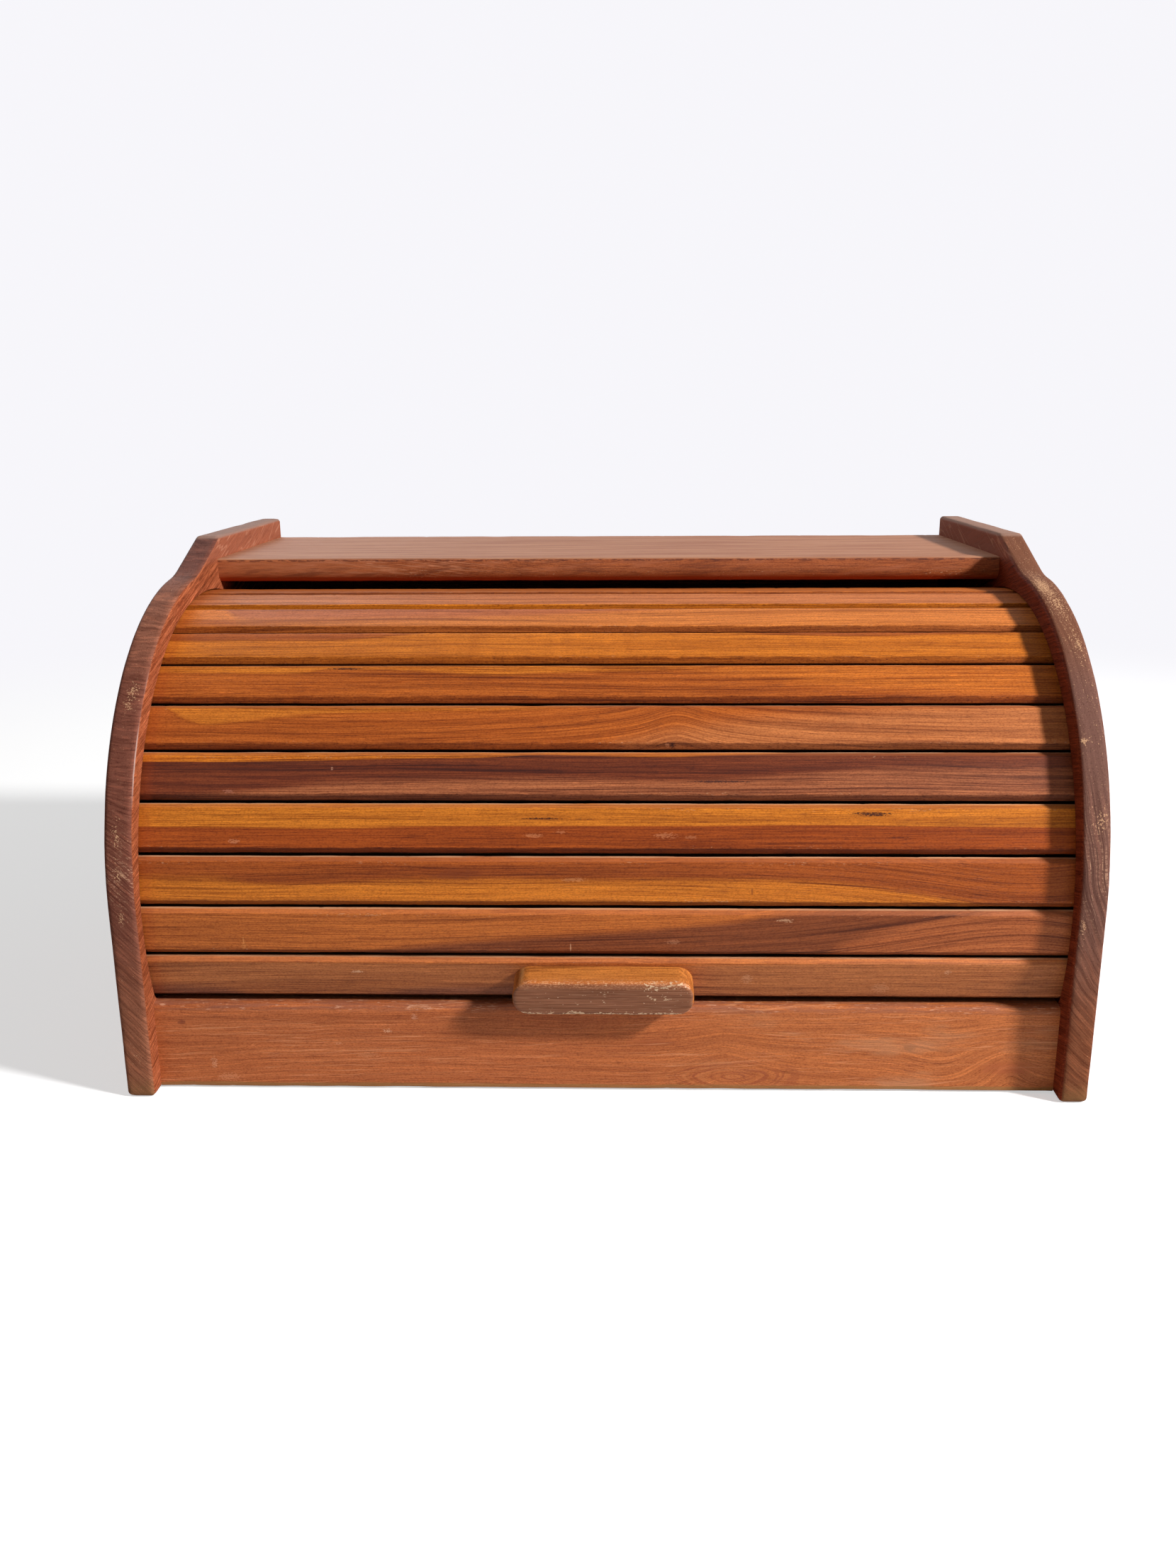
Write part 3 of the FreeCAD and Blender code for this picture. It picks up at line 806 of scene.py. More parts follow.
def shelfShade(finish, colour, run, along, across, depth):
    # The top is paler: partly faded and dusty, partly a painted sheen. The front is ruddy with
    # slanting figure, chipped along its upper edge, and bright where the nose turns under.
    top = finish.rise(depth, shelfHigh.z - 0.9, shelfHigh.z - 0.3)
    soft = finish.noise(run * 0.012, across * 0.16, 3.0, 3.0, 0.6)
    # Painted sheen, partly real fading: the top's paler colours stand for a reflection
    fadeAndSheen = finish.mix(finish.rise(soft, 0.35, 0.65), paint((152, 97, 68)), paint((178, 126, 94)))
    colour = finish.coat(colour, (finish.rise(along, -90.0, -150.0, 0.5), (188, 108, 66)))
    colour = finish.mix(top * 0.88, colour, fadeAndSheen)
    nose = finish.rise(depth, shelfLow.z + 4.6, shelfLow.z + 0.8)
    front = (1.0 - top) * (1.0 - nose)
    slant = finish.noise(run * 0.035, depth * 0.26 - along * 0.035, 1.0, 3.0, 0.6)
    flame = finish.noise(run * 0.022, depth * 0.55 + along * 0.05, 4.0, 2.0, 0.6)
    flame = finish.rise(abs(flame - 0.5), 0.035, 0.01) * finish.dome(along, -95.0, 40.0)
    chip = finish.noise(run * 0.22, depth * 0.9, 2.0, 3.0, 0.65)
    edge = finish.rise(depth, shelfHigh.z - 2.8, shelfHigh.z - 0.7) * (1.0 - top)
    return finish.coat(
        colour,
        (nose * 0.6, (206, 84, 26)),
        (finish.rise(slant, 0.52, 0.66) * front * 0.5, (172, 100, 66)),
        (flame * front * 0.6, (206, 138, 100)),
        (finish.rise(slant, 0.48, 0.34) * front * 0.5, (104, 48, 28)),
        (finish.rise(chip + edge * 0.16, 0.60, 0.68) * edge * 0.8, (82, 36, 24)),
    )


railLow, railHigh = [corner * 1000 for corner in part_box("front_rail")]
housing = {"depth": 4.0, "low": 3.0, "high": 12.0}  # what the bottom board stands in
tongue = railHigh.y - housing["depth"]
railShape = {
    "corners": [
        (railLow.y, railLow.z, 0.8),
        (railHigh.y, railLow.z, 0.0),
        (railHigh.y, housing["low"], 0.0),
        (tongue, housing["low"], 0.0),
        (tongue, housing["high"], 0.0),
        (railHigh.y, housing["high"], 0.0),
        (railHigh.y, railHigh.z, 0.8),
        (railLow.y, railHigh.z, 3.0),
    ],
    "rows": [0, 0, 0, 0, 0, 2, 2, 14],
    "half": railHigh.x,
    "step": 1.6,
    "uneven": 0.15,
    "rub": 0.25,
    "seed": 47.0,
    "upright": True,
}
railLook = {
    "colour": (182, 101, 57), "seed": 33, "tilt": 0.5, "bend": 12.0, "streaks": 0.3,
    "lines": 0.12, "paleLines": 0.85, "fibres": 0.4, "veins": 0.16, "gloss": 0.2,
    "arches": [
        {"at": 53, "width": 13, "rise": 15.0, "level": 2.0, "reach": 14.0},
        {"at": 150, "width": 22, "rise": -9.0, "level": 8.0, "reach": 16.0},
        {"at": 178, "width": 12, "rise": 10.0, "level": 12.0, "reach": 10.0},
    ],
    "marks": [
        (-104, 16.7, 4.0, 1.2, (204, 140, 98), 0.32, 4.0),
        (-146, 16.0, 2.6, 1.1, (196, 122, 84), 0.25, 4.0),
        (-117, 22.0, 1.6, 0.7, (214, 152, 110), 0.36, 4.0),
        (-95, 28.5, 1.8, 0.7, (226, 178, 140), 0.58, 4.0),
        (-81, 39.0, 5.0, 0.8, (218, 140, 84), 0.58, 4.0),
        (-83, 35.4, 1.5, 1.4, (204, 150, 120), 0.43),
        (-173, 12.3, 1.2, 2.2, (222, 166, 128), 0.43, 4.0),
        (-167, 5.3, 4.0, 1.6, (212, 140, 98), 0.43, 5.0),
        (-155, 21.0, 1.2, 1.0, (220, 130, 76), 0.43),
        (-186, 32.0, 1.5, 1.4, (112, 50, 34), 0.7),
        (134, 21.5, 2.4, 1.6, (124, 66, 38), 0.7, 3.0),
        (22, 24.0, 9.0, 1.6, (146, 72, 44), 0.5, 3.0),
        (-78, 39.4, 2.0, 0.9, (222, 164, 132), 0.58, 4.0),
        (176, 12.0, 12.0, 3.0, (158, 76, 48), 0.5, 3.0),
    ],
}


def railShade(finish, colour, run, along, across, depth):
    # Redder to the left and tanner to the right, with thin slanting lines and a swirl
    colour = finish.stain(colour, (finish.rise(along, -60.0, 90.0, 0.75), (1.04, 1.12, 1.02)))
    cloud = finish.noise(run * 0.02, across * 0.06, 3.0, 3.0, 0.6)
    dusty = finish.rise(cloud, 0.54, 0.72, 0.4) * finish.rise(along, 20.0, 90.0)
    slanting = across - along * 0.028 + (cloud - 0.5) * 6.0
    thread = finish.noise(run * 0.005, slanting * 0.55, 8.0, 2.0, 0.55)
    gap = finish.rise(cloud, 0.36, 0.52)
    upper = finish.rise(across, 36.6, 39.4)
    rub = finish.noise(run * 0.05, across * 0.8, depth * 0.8, 3.0, 0.65)
    scratch = finish.noise(run * 0.22, across * 1.3, depth * 1.3, 2.0, 0.6)
    aside, above = (along - 57.0) * 0.26, across - 7.0
    far = finish.maths("SQRT", aside * aside + above * above)
    loops = finish.noise(far * 1.1 + (cloud - 0.5) * 7.0, run * 0.02, 9.0, 2.0)
    swirl = finish.rise(far, 11.0, 4.0)
    foot = finish.rise(across + (rub - 0.5) * 2.0, 3.4, 2.4, 0.7)
    return finish.coat(
        colour,
        (dusty, (190, 138, 100)),
        (finish.rise(abs(thread - 0.52), 0.016, 0.004, 0.5) * gap, (222, 150, 104)),
        (finish.rise(abs(thread - 0.45), 0.012, 0.003, 0.35) * gap, (132, 62, 40)),
        (upper * finish.rise(rub, 0.35, 0.6, 0.65), (134, 82, 64)),  # greyish from hands
        (upper * finish.rise(scratch, 0.60, 0.68, 0.7), (206, 150, 118)),
        (finish.rise(loops, 0.52, 0.60, 0.5) * swirl, (138, 64, 42)),
        (finish.rise(loops, 0.46, 0.38, 0.25) * swirl, (214, 136, 84)),
        (foot, (150, 110, 62)),  # dirt along the bottom
    )


def makeBoards():
    # The sections are in (Y, Z). The rail is upright, so its grain's height is along Z.
    look = {**shelfLook, "wear": arrisWear, "shade": shelfShade}
    piece = sweptBoard("shelf_wood", shelfShape)
    finishPiece(piece, "case", "shelf", teak("teakShelf", look))
    look = {**railLook, "shade": railShade}
    piece = sweptBoard("front_rail_wood", railShape)
    finishPiece(piece, "case", "front_rail", teak("teakRail", look))


makeBoards()
print("shelf and rail made")

sideShape = {
    "thickness": 12.2,
    "edgeRadius": 2.0,
    "edgeInset": 2.4,  # to where a face's flat middle starts
    "edgeSteps": 4,
    "faceRows": 5,
    "browStart": 86.7,
    "browRadius": 129.1,
    "shoulder": 159.6,
    "rise": 21.0,
    "hollowRadius": 50.0,
    "shoulderRadius": 6.0,
    "footRadius": 2.5,
    "grooveDepth": 6.0,
    "grooveRadii": (116.9, 125.985),
    "grooveEnds": (-16.821, 209.251),
    "grooveSteps": 90,
    "grooveEndSteps": 8,
    "rebateWidth": 6.0,  # for the back board, up to the shelf
    "rebateDepth": 6.2,
    "cutPast": 30.0,  # how far the cut of an open rebate runs on
    "step": 1.8,
    "uneven": 0.10,
    "rub": 0.30,
    "arris": (0.1, 0.4, 2.0),
    "arrisReach": (2.2, 1.9),  # from the outline and from a face, what counts as arris
}
sideOuter = cadHigh.x * 1000
sideFace = sideOuter - sideShape["thickness"]  # the inner face


def arcPoints(centre, start, end, step):
    # Points along the shorter arc, with the directions from its centre
    centre, start, end = Vector(centre), Vector(start), Vector(end)
    first = (start - centre).normalized()
    turn = first.angle_signed((end - centre).normalized())
    radius = (start - centre).length
    count = max(2, round(abs(turn) * radius / step))
    swung = [Matrix.Rotation(-turn * index / count, 2) @ first for index in range(count)]
    return [(centre + ray * radius, ray) for ray in swung]


def linePoints(start, end, outward, step):
    start, end = Vector(start), Vector(end)
    count = max(1, round((end - start).length / step))
    return [(start.lerp(end, index / count), Vector(outward)) for index in range(count)]


def sideOutline():
    # The outline in (Y, Z), from the front foot up over the brow and shoulder to the back
    low, high = [corner * 1000 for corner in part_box("left_side")]
    front, back, top = low.y, high.y, high.z
    browRadius, hollowRadius = sideShape["browRadius"], sideShape["hollowRadius"]
    brow = Vector((front + browRadius, sideShape["browStart"]))
    rise = math.radians(sideShape["rise"])
    alongRise = Vector((math.cos(rise), math.sin(rise)))
    outOfRise = Vector((-math.sin(rise), math.cos(rise)))
    shoulder = Vector((front + sideShape["shoulder"], top))
    offset = shoulder + outOfRise * hollowRadius - brow
    middle = offset.dot(alongRise)
    spare = offset.dot(offset) - (browRadius + hollowRadius) ** 2
    hollow = brow + offset - alongRise * (middle - math.sqrt(middle * middle - spare))
    browEnd = brow + (hollow - brow).normalized() * browRadius
    riseStart = hollow - outOfRise * hollowRadius
    trim = sideShape["shoulderRadius"] * math.tan(rise / 2)
    riseEnd = shoulder - alongRise * trim
    topStart = shoulder + Vector((trim, 0))
    bend = topStart - Vector((0, sideShape["shoulderRadius"]))
    foot, step = sideShape["footRadius"], sideShape["step"]
    ahead, behind, under = front + foot, back - foot, top - foot
    points = arcPoints((ahead, foot), (ahead, 0), (front, foot), foot / 4)
    points += linePoints((front, foot), (front, brow.y), (-1, 0), step)
    points += arcPoints(brow, (front, brow.y), browEnd, step)
    points += [(spot, -ray) for spot, ray in arcPoints(hollow, browEnd, riseStart, step)]
    points += linePoints(riseStart, riseEnd, outOfRise, step)
    points += arcPoints(bend, riseEnd, topStart, step / 3)
    points += linePoints(topStart, (behind, top), (0, 1), step)
    points += arcPoints((behind, under), (behind, top), (back, under), foot / 4)
    points += linePoints((back, under), (back, foot), (1, 0), step)
    points += arcPoints((behind, foot), (back, foot), (behind, 0), foot / 4)
    points += linePoints((behind, 0), (ahead, 0), (0, -1), step)
    return points


def grooveOutline():
    inner, outer = sideShape["grooveRadii"]
    low, high = sideShape["grooveEnds"]
    steps, endSteps = sideShape["grooveSteps"], sideShape["grooveEndSteps"]
    middle, half = (inner + outer) / 2, (outer - inner) / 2

    def at(radius, angle):
        turn = math.radians(angle)
        return (track["y"] - radius * math.cos(turn), track["z"] + radius * math.sin(turn))

    def roundEnd(end, way):
        centre, turn = at(middle, end), math.radians(end)
        out = Vector((-math.cos(turn), math.sin(turn))) * way
        ahead = Vector((math.sin(turn), math.cos(turn))) * way
        angles = [math.pi * index / endSteps for index in range(1, endSteps)]
        rays = [out * math.cos(angle) + ahead * math.sin(angle) for angle in angles]
        return [(centre[0] + ray.x * half, centre[1] + ray.y * half) for ray in rays]

    spots = [at(outer, low + (high - low) * index / steps) for index in range(steps + 1)]
    spots += roundEnd(high, 1)
    spots += [at(inner, high + (low - high) * index / steps) for index in range(steps + 1)]
    return spots + roundEnd(low, -1)


def solidOf(name, outline, x0, x1):
    # A straight-sided solid between two X places, used only to cut with
    points = [(x, y, z) for x in (x0, x1) for y, z in outline]
    return faceOut(makeMesh(name, points, tubeFaces(len(outline), 2)))


def faceOut(piece):
    form = bmesh.new()
    form.from_mesh(piece.data)
    bmesh.ops.recalc_face_normals(form, faces=form.faces)
    form.to_mesh(piece.data)
    form.free()
    return piece


def cutWith(piece, cutters):
    for cutter in cutters:
        modifier = piece.modifiers.new("cut", "BOOLEAN")
        modifier.operation = "DIFFERENCE"
        modifier.solver = "EXACT"
        modifier.object = cutter
    bpy.context.view_layer.update()
    seen = piece.evaluated_get(bpy.context.evaluated_depsgraph_get())
    mesh = bpy.data.meshes.new_from_object(seen)
    piece.modifiers.clear()
    piece.data = mesh
    for cutter in cutters:
        bpy.data.objects.remove(cutter)


def sideBlank(name, direction, outline, seed):
    # The uncut board, as rings of its outline from the outer face to the inner one
    thickness, radius = sideShape["thickness"], sideShape["edgeRadius"]
    steps, rows = sideShape["edgeSteps"], sideShape["faceRows"]
    turns = [math.pi / 2 * index / steps for index in range(steps + 1)]
    curve = [(radius - radius * math.sin(turn), radius - radius * math.cos(turn)) for turn in turns]
    inset = sideShape["edgeInset"]
    profile = [(inset, 0.0, 0.0)] + [(*bend, 1.0) for bend in curve]
    straight = thickness - 2 * radius
    profile += [(0.0, radius + straight * row / rows, 0.0) for row in range(1, rows)]
    profile += [(bend, thickness - depth, 1.0) for bend, depth in reversed(curve)]
    profile.append((inset, thickness, 0.0))
    points = []
    for inset, depth, weight in profile:
        for spot, outward in outline:
            sunk = 0.0
            if depth not in (0.0, thickness):
                wave = ripple(depth * 0.1, spot.x * 0.03, spot.y * 0.03 + seed)
                sunk = sideShape["uneven"] * (0.5 + 0.5 * wave)
            if weight:
                rub = ripple(spot.x * 0.05, spot.y * 0.05 + seed, depth * 0.4)
                nick = ripple(spot.x * 0.35, spot.y * 0.35, seed * 1.7 + depth)
                sunk += sideShape["rub"] * arrisLoss(rub, nick, sideShape["arris"])
                sunk *= min(1.0, (radius - inset) * 1.5) if inset else 1.0
            moved = spot - outward * (inset + sunk)
            points.append((direction * (sideOuter - depth), moved.x, moved.y))
    faces = tubeFaces(len(outline), len(profile))
    if direction > 0:  # the mirrored board's faces turn the other way
        faces = [tuple(reversed(face)) for face in faces]
    return faceOut(makeMesh(name + "_wood", points, faces))


def makeSide(name, direction, look):
    outline = sideOutline()
    side = sideBlank(name, direction, outline, look["seed"])
    back = cadHigh.y * 1000 - sideShape["rebateDepth"]
    low, high = housing["low"], housing["high"]
    under, past = -sideShape["cutPast"], back + sideShape["cutPast"]
    cuts = {
        "groove": (grooveOutline(), sideShape["grooveDepth"]),
        "housing": ([(tongue, low), (back, low), (back, high), (tongue, high)], housing["depth"]),
        "rebate": (
            [(back, under), (past, under), (past, shelfLow.z), (back, shelfLow.z)],
            sideShape["rebateWidth"],
        ),
    }
    inside = direction * (sideFace - 2.0)  # cutters start clear of the face
    cutWith(side, [
        solidOf(label, shape, inside, direction * (sideFace + deep))
        for label, (shape, deep) in cuts.items()
    ])

    reach, deep = sideShape["arrisReach"]
    grain, arris, rim = [], [], []
    for vertex in side.data.vertices:
        x, y, z = vertex.co * 1000
        near = min((y - spot.x) ** 2 + (z - spot.y) ** 2 for spot, outward in outline) ** 0.5
        toFace = min(abs(abs(x) - sideOuter), abs(abs(x) - sideFace))
        grain.append((y, z, x))
        arris.append(1.0 if near < reach and 0.02 < toFace < deep else 0.0)
        edge = max(0.0, min(1.0, 1.0 - near / sideShape["edgeRadius"]))
        rim.append(edge if abs(x) > sideFace - 0.1 else 0.0)
    dress(side, grain, arris, rim)
    finishPiece(side, "case", name, teak("teak_" + name, look))


def sideShade(look):
    # The rim shows the ends of the grain: dark, with growth layers and clusters of worn specks
    low, high = look["lean"]
    dark, pale = (0.56, 0.48, 0.46), (1.50, 1.44, 1.36)

    def endGrain(finish, run, along, across, depth):
        # Growth layers across the rim, with open pores, chips and a dusty foot
        lean = finish.rise(across, *look["steep"], high - low) + low
        sway = finish.noise(depth * 0.08, across * 0.05, along * 0.02, 1.0)
        start, reach, fall = look["bow"]
        past = finish.maths("MAXIMUM", across - start, 0.0)
        short = finish.maths("MINIMUM", past, reach)
        drop = short * short * (fall / reach / 2) + (past - short) * fall
        layers = across - drop + (depth - look["centre"]) * lean + (sway - 0.5) * 3.0
        ring = finish.noise(layers * 0.40, run * 0.004, 3.0, 3.0, 0.6)
        fine = finish.noise(layers * 1.15, run * 0.01, depth * 0.12, 2.0, 0.6)
        pore = finish.noise(depth * 1.6, across * 1.6, along * 1.6, 2.0)
        clear = finish.rise(across, *look["clear"], 0.75) + 0.25
        ends = finish.coat(
            paint(look["low"]),
            (finish.rise(across, 20.0, 90.0), look["middle"]),
            (finish.rise(across, 172.0, 200.0), look["brow"]),
            (finish.rise(across, 210.0, 219.0), look["high"]),
        )
        ends = finish.stain(
            ends,
            (finish.rise(ring, 0.46, 0.62, 0.5) * clear, dark),
            (finish.rise(fine, 0.54, 0.62, 0.7) * clear, pale),
            (finish.rise(fine, 0.46, 0.36, 0.6) * clear, dark),
            (finish.rise(pore, 0.54, 0.70, 0.6), (0.50, 0.44, 0.42)),
        )
        speck = finish.noise(depth * 1.6, across * 1.3, along * 1.3, 2.0, 0.65)
        chips = speck + (fine - 0.5) * 0.25
        for height, place, tall, wide, strength in look["chipped"]:
            near = finish.dome(across, height, tall) * finish.dome(abs(depth), place, wide)
            chips = chips + near * (strength * 0.2)
        dots = finish.noise(across * 1.1, depth * 0.3, 5.0, 2.0, 0.6)
        dotted = finish.rise(abs(fine - 0.55), 0.035, 0.01) * finish.rise(dots, 0.45, 0.54)
        dotted = dotted * finish.dome(across, *look["dotted"])
        foot = finish.rise(across + (speck - 0.5) * 14.0, 12.0, 1.0, 0.55)
        ends = finish.coat(
            ends,
            (finish.rise(chips, 0.71, 0.77, 0.85), (204, 158, 120)),
            (dotted * 0.75, (200, 154, 124)),
            (foot, (134, 98, 62)),
        )
        # Painted shade: the outer arris, which faces away from the light, is darker
        outermost = finish.rise(abs(depth), 208.2, 209.6, 0.6)
        return finish.stain(ends, (outermost, (0.55, 0.46, 0.44)))

    def shade(finish, colour, run, along, across, depth):
        # Above the shelf the inner face is paler and pinker, a painted sheen, with slanting lines,
        # and its top is dusty
        inside = finish.rise(abs(depth), 204.0, 200.0)
        above = finish.rise(across, 217.0, 222.0) * inside
        slant = finish.noise((across - along * 0.34) * 0.11, along * 0.012, depth * 0.1, 2.0, 0.6)
        hatch = (across - along * look["slope"]) * 0.9
        hatch = finish.noise(hatch, along * 0.05, 7.0, 2.0, 0.6)
        colour = finish.stain(
            colour,
            (finish.rise(hatch, 0.47, 0.38, 0.6), (0.60, 0.46, 0.42)),
            (finish.rise(hatch, 0.53, 0.62, 0.5), (1.35, 1.42, 1.5)),
            # Painted shade: the left inner face is darker round a height of 74 mm, as strongly as
            # "line"
            (finish.dome(across, 74.0, 36.0) * inside * look["line"], (0.56, 0.50, 0.46)),
            (1.0 - inside, look["outside"]),
        )
        lines = finish.rise(abs(slant - 0.5), 0.020, 0.004, 0.35) * above
        # Painted sheen: the inner face above the shelf is paler and pinker
        colour = finish.coat(colour, (above * 0.7, (150, 88, 66)), (lines, (206, 146, 116)))
        edge = finish.layer("rim")
        rim = finish.rise(edge - finish.rise(abs(depth), 206.0, 202.0, look["late"]), 0.30, 0.62)
        colour = finish.mix(rim, colour, endGrain(finish, run, along, across, depth))

        # A painted highlight: a thin pale line, here and there, along the arris towards the slats
        band = finish.rise(abs(edge - 0.45), 0.22, 0.04) * finish.rise(abs(depth), 201.5, 200.0)
        there = finish.rise(across, 128.0, 144.0) * finish.rise(across, 186.0, 168.0, look["line"])
        patchy = finish.noise(along * 0.02, across * 0.02, 6.0, 2.0, 0.6)
        wearAndHighlight = band * there * finish.rise(patchy, 0.30, 0.50)
        crest = finish.rise(across, 229.2, 230.4, 0.65)
        return finish.coat(colour, (crest, (168, 134, 118)), (wearAndHighlight, (188, 160, 150)))

    return shade


# The rim's growth layers turn about "centre", lean by the two values of "lean" below and above
# the heights of "steep", and bow down past a height by "bow". They fade between the heights of
# "clear", and are dotted round a height by "dotted". "late" narrows the rim towards the slats,
# "line" is how strong the painted highlight on that arris and the painted inner shade are, and
# "outside" tints the outer face. Chipped places are (height, place across the rim, reach up,
# reach across, strength).
sideCommon = {
    "tilt": 0.2, "bend": 4.0, "pores": 0.8, "flecks": 0.9, "lines": 0.4, "fibres": 0.9,
    "streaks": 0.45, "veins": 0.2, "gloss": 0.05, "roughness": 0.6,
}
sideLooks = {
    "left_side": {
        "colour": (162, 90, 58), "seed": 51, "slope": 0.28, "late": 0.0, "centre": -204.0,
        "lean": (1.1, 0.1), "steep": (90.0, 150.0), "bow": (20.0, 80.0, 0.0),
        "low": (146, 92, 68), "middle": (120, 71, 57), "brow": (142, 90, 70),
        "high": (112, 68, 57), "outside": (0.98, 0.96, 0.86),
        "line": 0.7, "clear": (250.0, 240.0), "dotted": (104.0, 9.0),
        "chipped": [
            (175, 202.5, 3.5, 2.0, 1.0),
            (170, 204.0, 3.0, 1.5, 0.7),
            (119, 204.5, 4.5, 1.6, 1.0),
            (104, 204.0, 4.0, 1.6, 1.0),
            (84, 204.0, 3.5, 1.4, 1.0),
            (20, 203.5, 5.0, 2.0, 0.5),
        ],
    },
    "right_side": {
        # Painted shade: a darker colour than the left side's, for an inner face in shadow;
        # "outside" lifts the outer face back to the wood's colour
        "colour": (120, 50, 27), "seed": 57, "slope": -0.28, "late": 0.33, "centre": 204.0,
        "lean": (0.9, 0.9), "steep": (20.0, 80.0), "bow": (20.0, 90.0, 0.88),
        "low": (128, 76, 51), "middle": (114, 78, 67), "brow": (118, 76, 58),
        "high": (120, 76, 56), "outside": (1.60, 2.60, 2.60),
        "line": 0.0, "clear": (150.0, 130.0), "dotted": (106.0, 14.0),
        "chipped": [
            (212, 202.0, 2.5, 3.5, 1.2),
            (206, 204.0, 5.0, 4.0, 0.8),
            (192, 206.0, 3.0, 1.6, 0.9),
            (157, 200.6, 0.8, 1.6, 1.6),
            (126, 206.0, 4.0, 2.0, 1.1),
            (82, 200.5, 4.0, 1.2, 1.1),
            (226, 203.0, 5.0, 3.0, 0.35),
            (166, 204.5, 24.0, 8.0, 0.3),
        ],
    },
}
for name, direction in (("left_side", -1), ("right_side", 1)):
    look = {**sideCommon, **sideLooks[name]}
    makeSide(name, direction, {**look, "shade": sideShade(look)})
print("sides made")

handleShape = {
    "length": 77.6,
    "height": 16.8,
    "drop": 1.6,
    "cornerRadius": 7.4,
    "cornerSteps": 16,
    "sideSteps": (88, 4, 88, 4),
    "edgeRadius": 1.4,
    "edgeSteps": 5,
    "base": 8.0,
    "projection": 12.7,
    "levels": 8,
    "frontInsets": (2.0, 2.8, 4.0, 5.6, 7.2, 8.1),
    "uneven": 0.10,
    "rub": 0.25,
    "arrisBelow": (0.1, 0.25, 3.2),
    "arrisAbove": (0.1, 0.25, 1.6),
    "seed": 8.3,
}
handleLook = {
    "colour": (188, 114, 52), "seed": 91, "tilt": 0.3, "bend": 4.0, "streaks": 0.7, "lines": 0.7,
    "chipped": [  # along, across, length, height, strength
        (0.4, 2.4, 1.0, 3.0, 1.1),
        (26.3, -1.0, 3.0, 2.0, 0.9),
        (21.0, 5.0, 2.5, 2.0, 0.7),
        (31.0, 5.5, 3.0, 2.0, 0.2),
        (-13.8, -8.0, 1.6, 1.2, 0.9),
    ],
}


def handleRing(inset):
    # The rounded outline in the slat's axes, drawn in by some distance
    half = handleShape["length"] / 2 - inset
    tall = handleShape["height"] / 2 - inset
    radius = max(handleShape["cornerRadius"] - inset, 0.15)
    steps = handleShape["cornerSteps"]
    bends = []
    for first, sideX, sideY in ((0, 1, 1), (90, -1, 1), (180, -1, -1), (270, 1, -1)):
        centre = Vector((sideX * (half - radius), sideY * (tall - radius)))
        angles = [math.radians(first + 90 * index / steps) for index in range(steps + 1)]
        rays = [Vector((math.cos(angle), math.sin(angle))) for angle in angles]
        bends.append([(centre + ray * radius, ray) for ray in rays])
    spots = []
    for index, count in enumerate(handleShape["sideSteps"]):
        spots += bends[index]
        start, outward = bends[index][-1]
        end = bends[(index + 1) % 4][0][0]
        spots += [(start.lerp(end, step / count), outward) for step in range(1, count)]
    return spots


def makeHandle():
    radius, base, seed = [handleShape[key] for key in ("edgeRadius", "base", "seed")]
    count, steps = handleShape["levels"], handleShape["edgeSteps"]
    top = base + handleShape["projection"]
    straight = handleShape["projection"] - radius
    levels = [(0.0, base + straight * index / count, 0.0) for index in range(count + 1)]
    for index in range(1, steps + 1):
        angle = math.pi / 2 * index / steps
        inset, height = radius - radius * math.cos(angle), top - radius + radius * math.sin(angle)
        levels.append((inset, height, 1.0))
    levels += [(inset, top, 0.0) for inset in handleShape["frontInsets"]]
    points, grain, arris = [], [], []
    place = slatPlace(1)
    for inset, height, weight in levels:
        flat = height >= top - 0.01
        for spot, outward in handleRing(inset):
            wave = ripple(spot.x * 0.05, spot.y * 0.08, height * 0.08 + seed)
            sunk = handleShape["uneven"] * (0.5 + 0.5 * wave)
            chip = 0.0
            if weight:
                rub = ripple(spot.x * 0.11, spot.y * 0.2, seed)
                nick = ripple(spot.x * 0.55, spot.y * 0.55, seed * 3)
                wear = handleShape["arrisBelow" if outward.y < 0 else "arrisAbove"]
                chip = handleShape["rub"] * arrisLoss(rub, nick, wear)
            lowered = height - (sunk + chip * 0.5 if flat or weight else 0.0)
            moved = spot - outward * (0.0 if flat else sunk + chip * 0.6)
            local = (moved.x, moved.y - handleShape["drop"], lowered)
            points.append(place @ Vector(local))
            grain.append((local[0], local[1], local[2] - base))
            arris.append(weight)
    faces = tubeFaces(len(points) // len(levels), len(levels))
    handle = dress(makeMesh("handle_wood", points, faces), grain, arris)
    look = {**handleLook, "shade": handleShade}
    finishPiece(handle, "roll_top", "handle", teak("teakHandle", look))


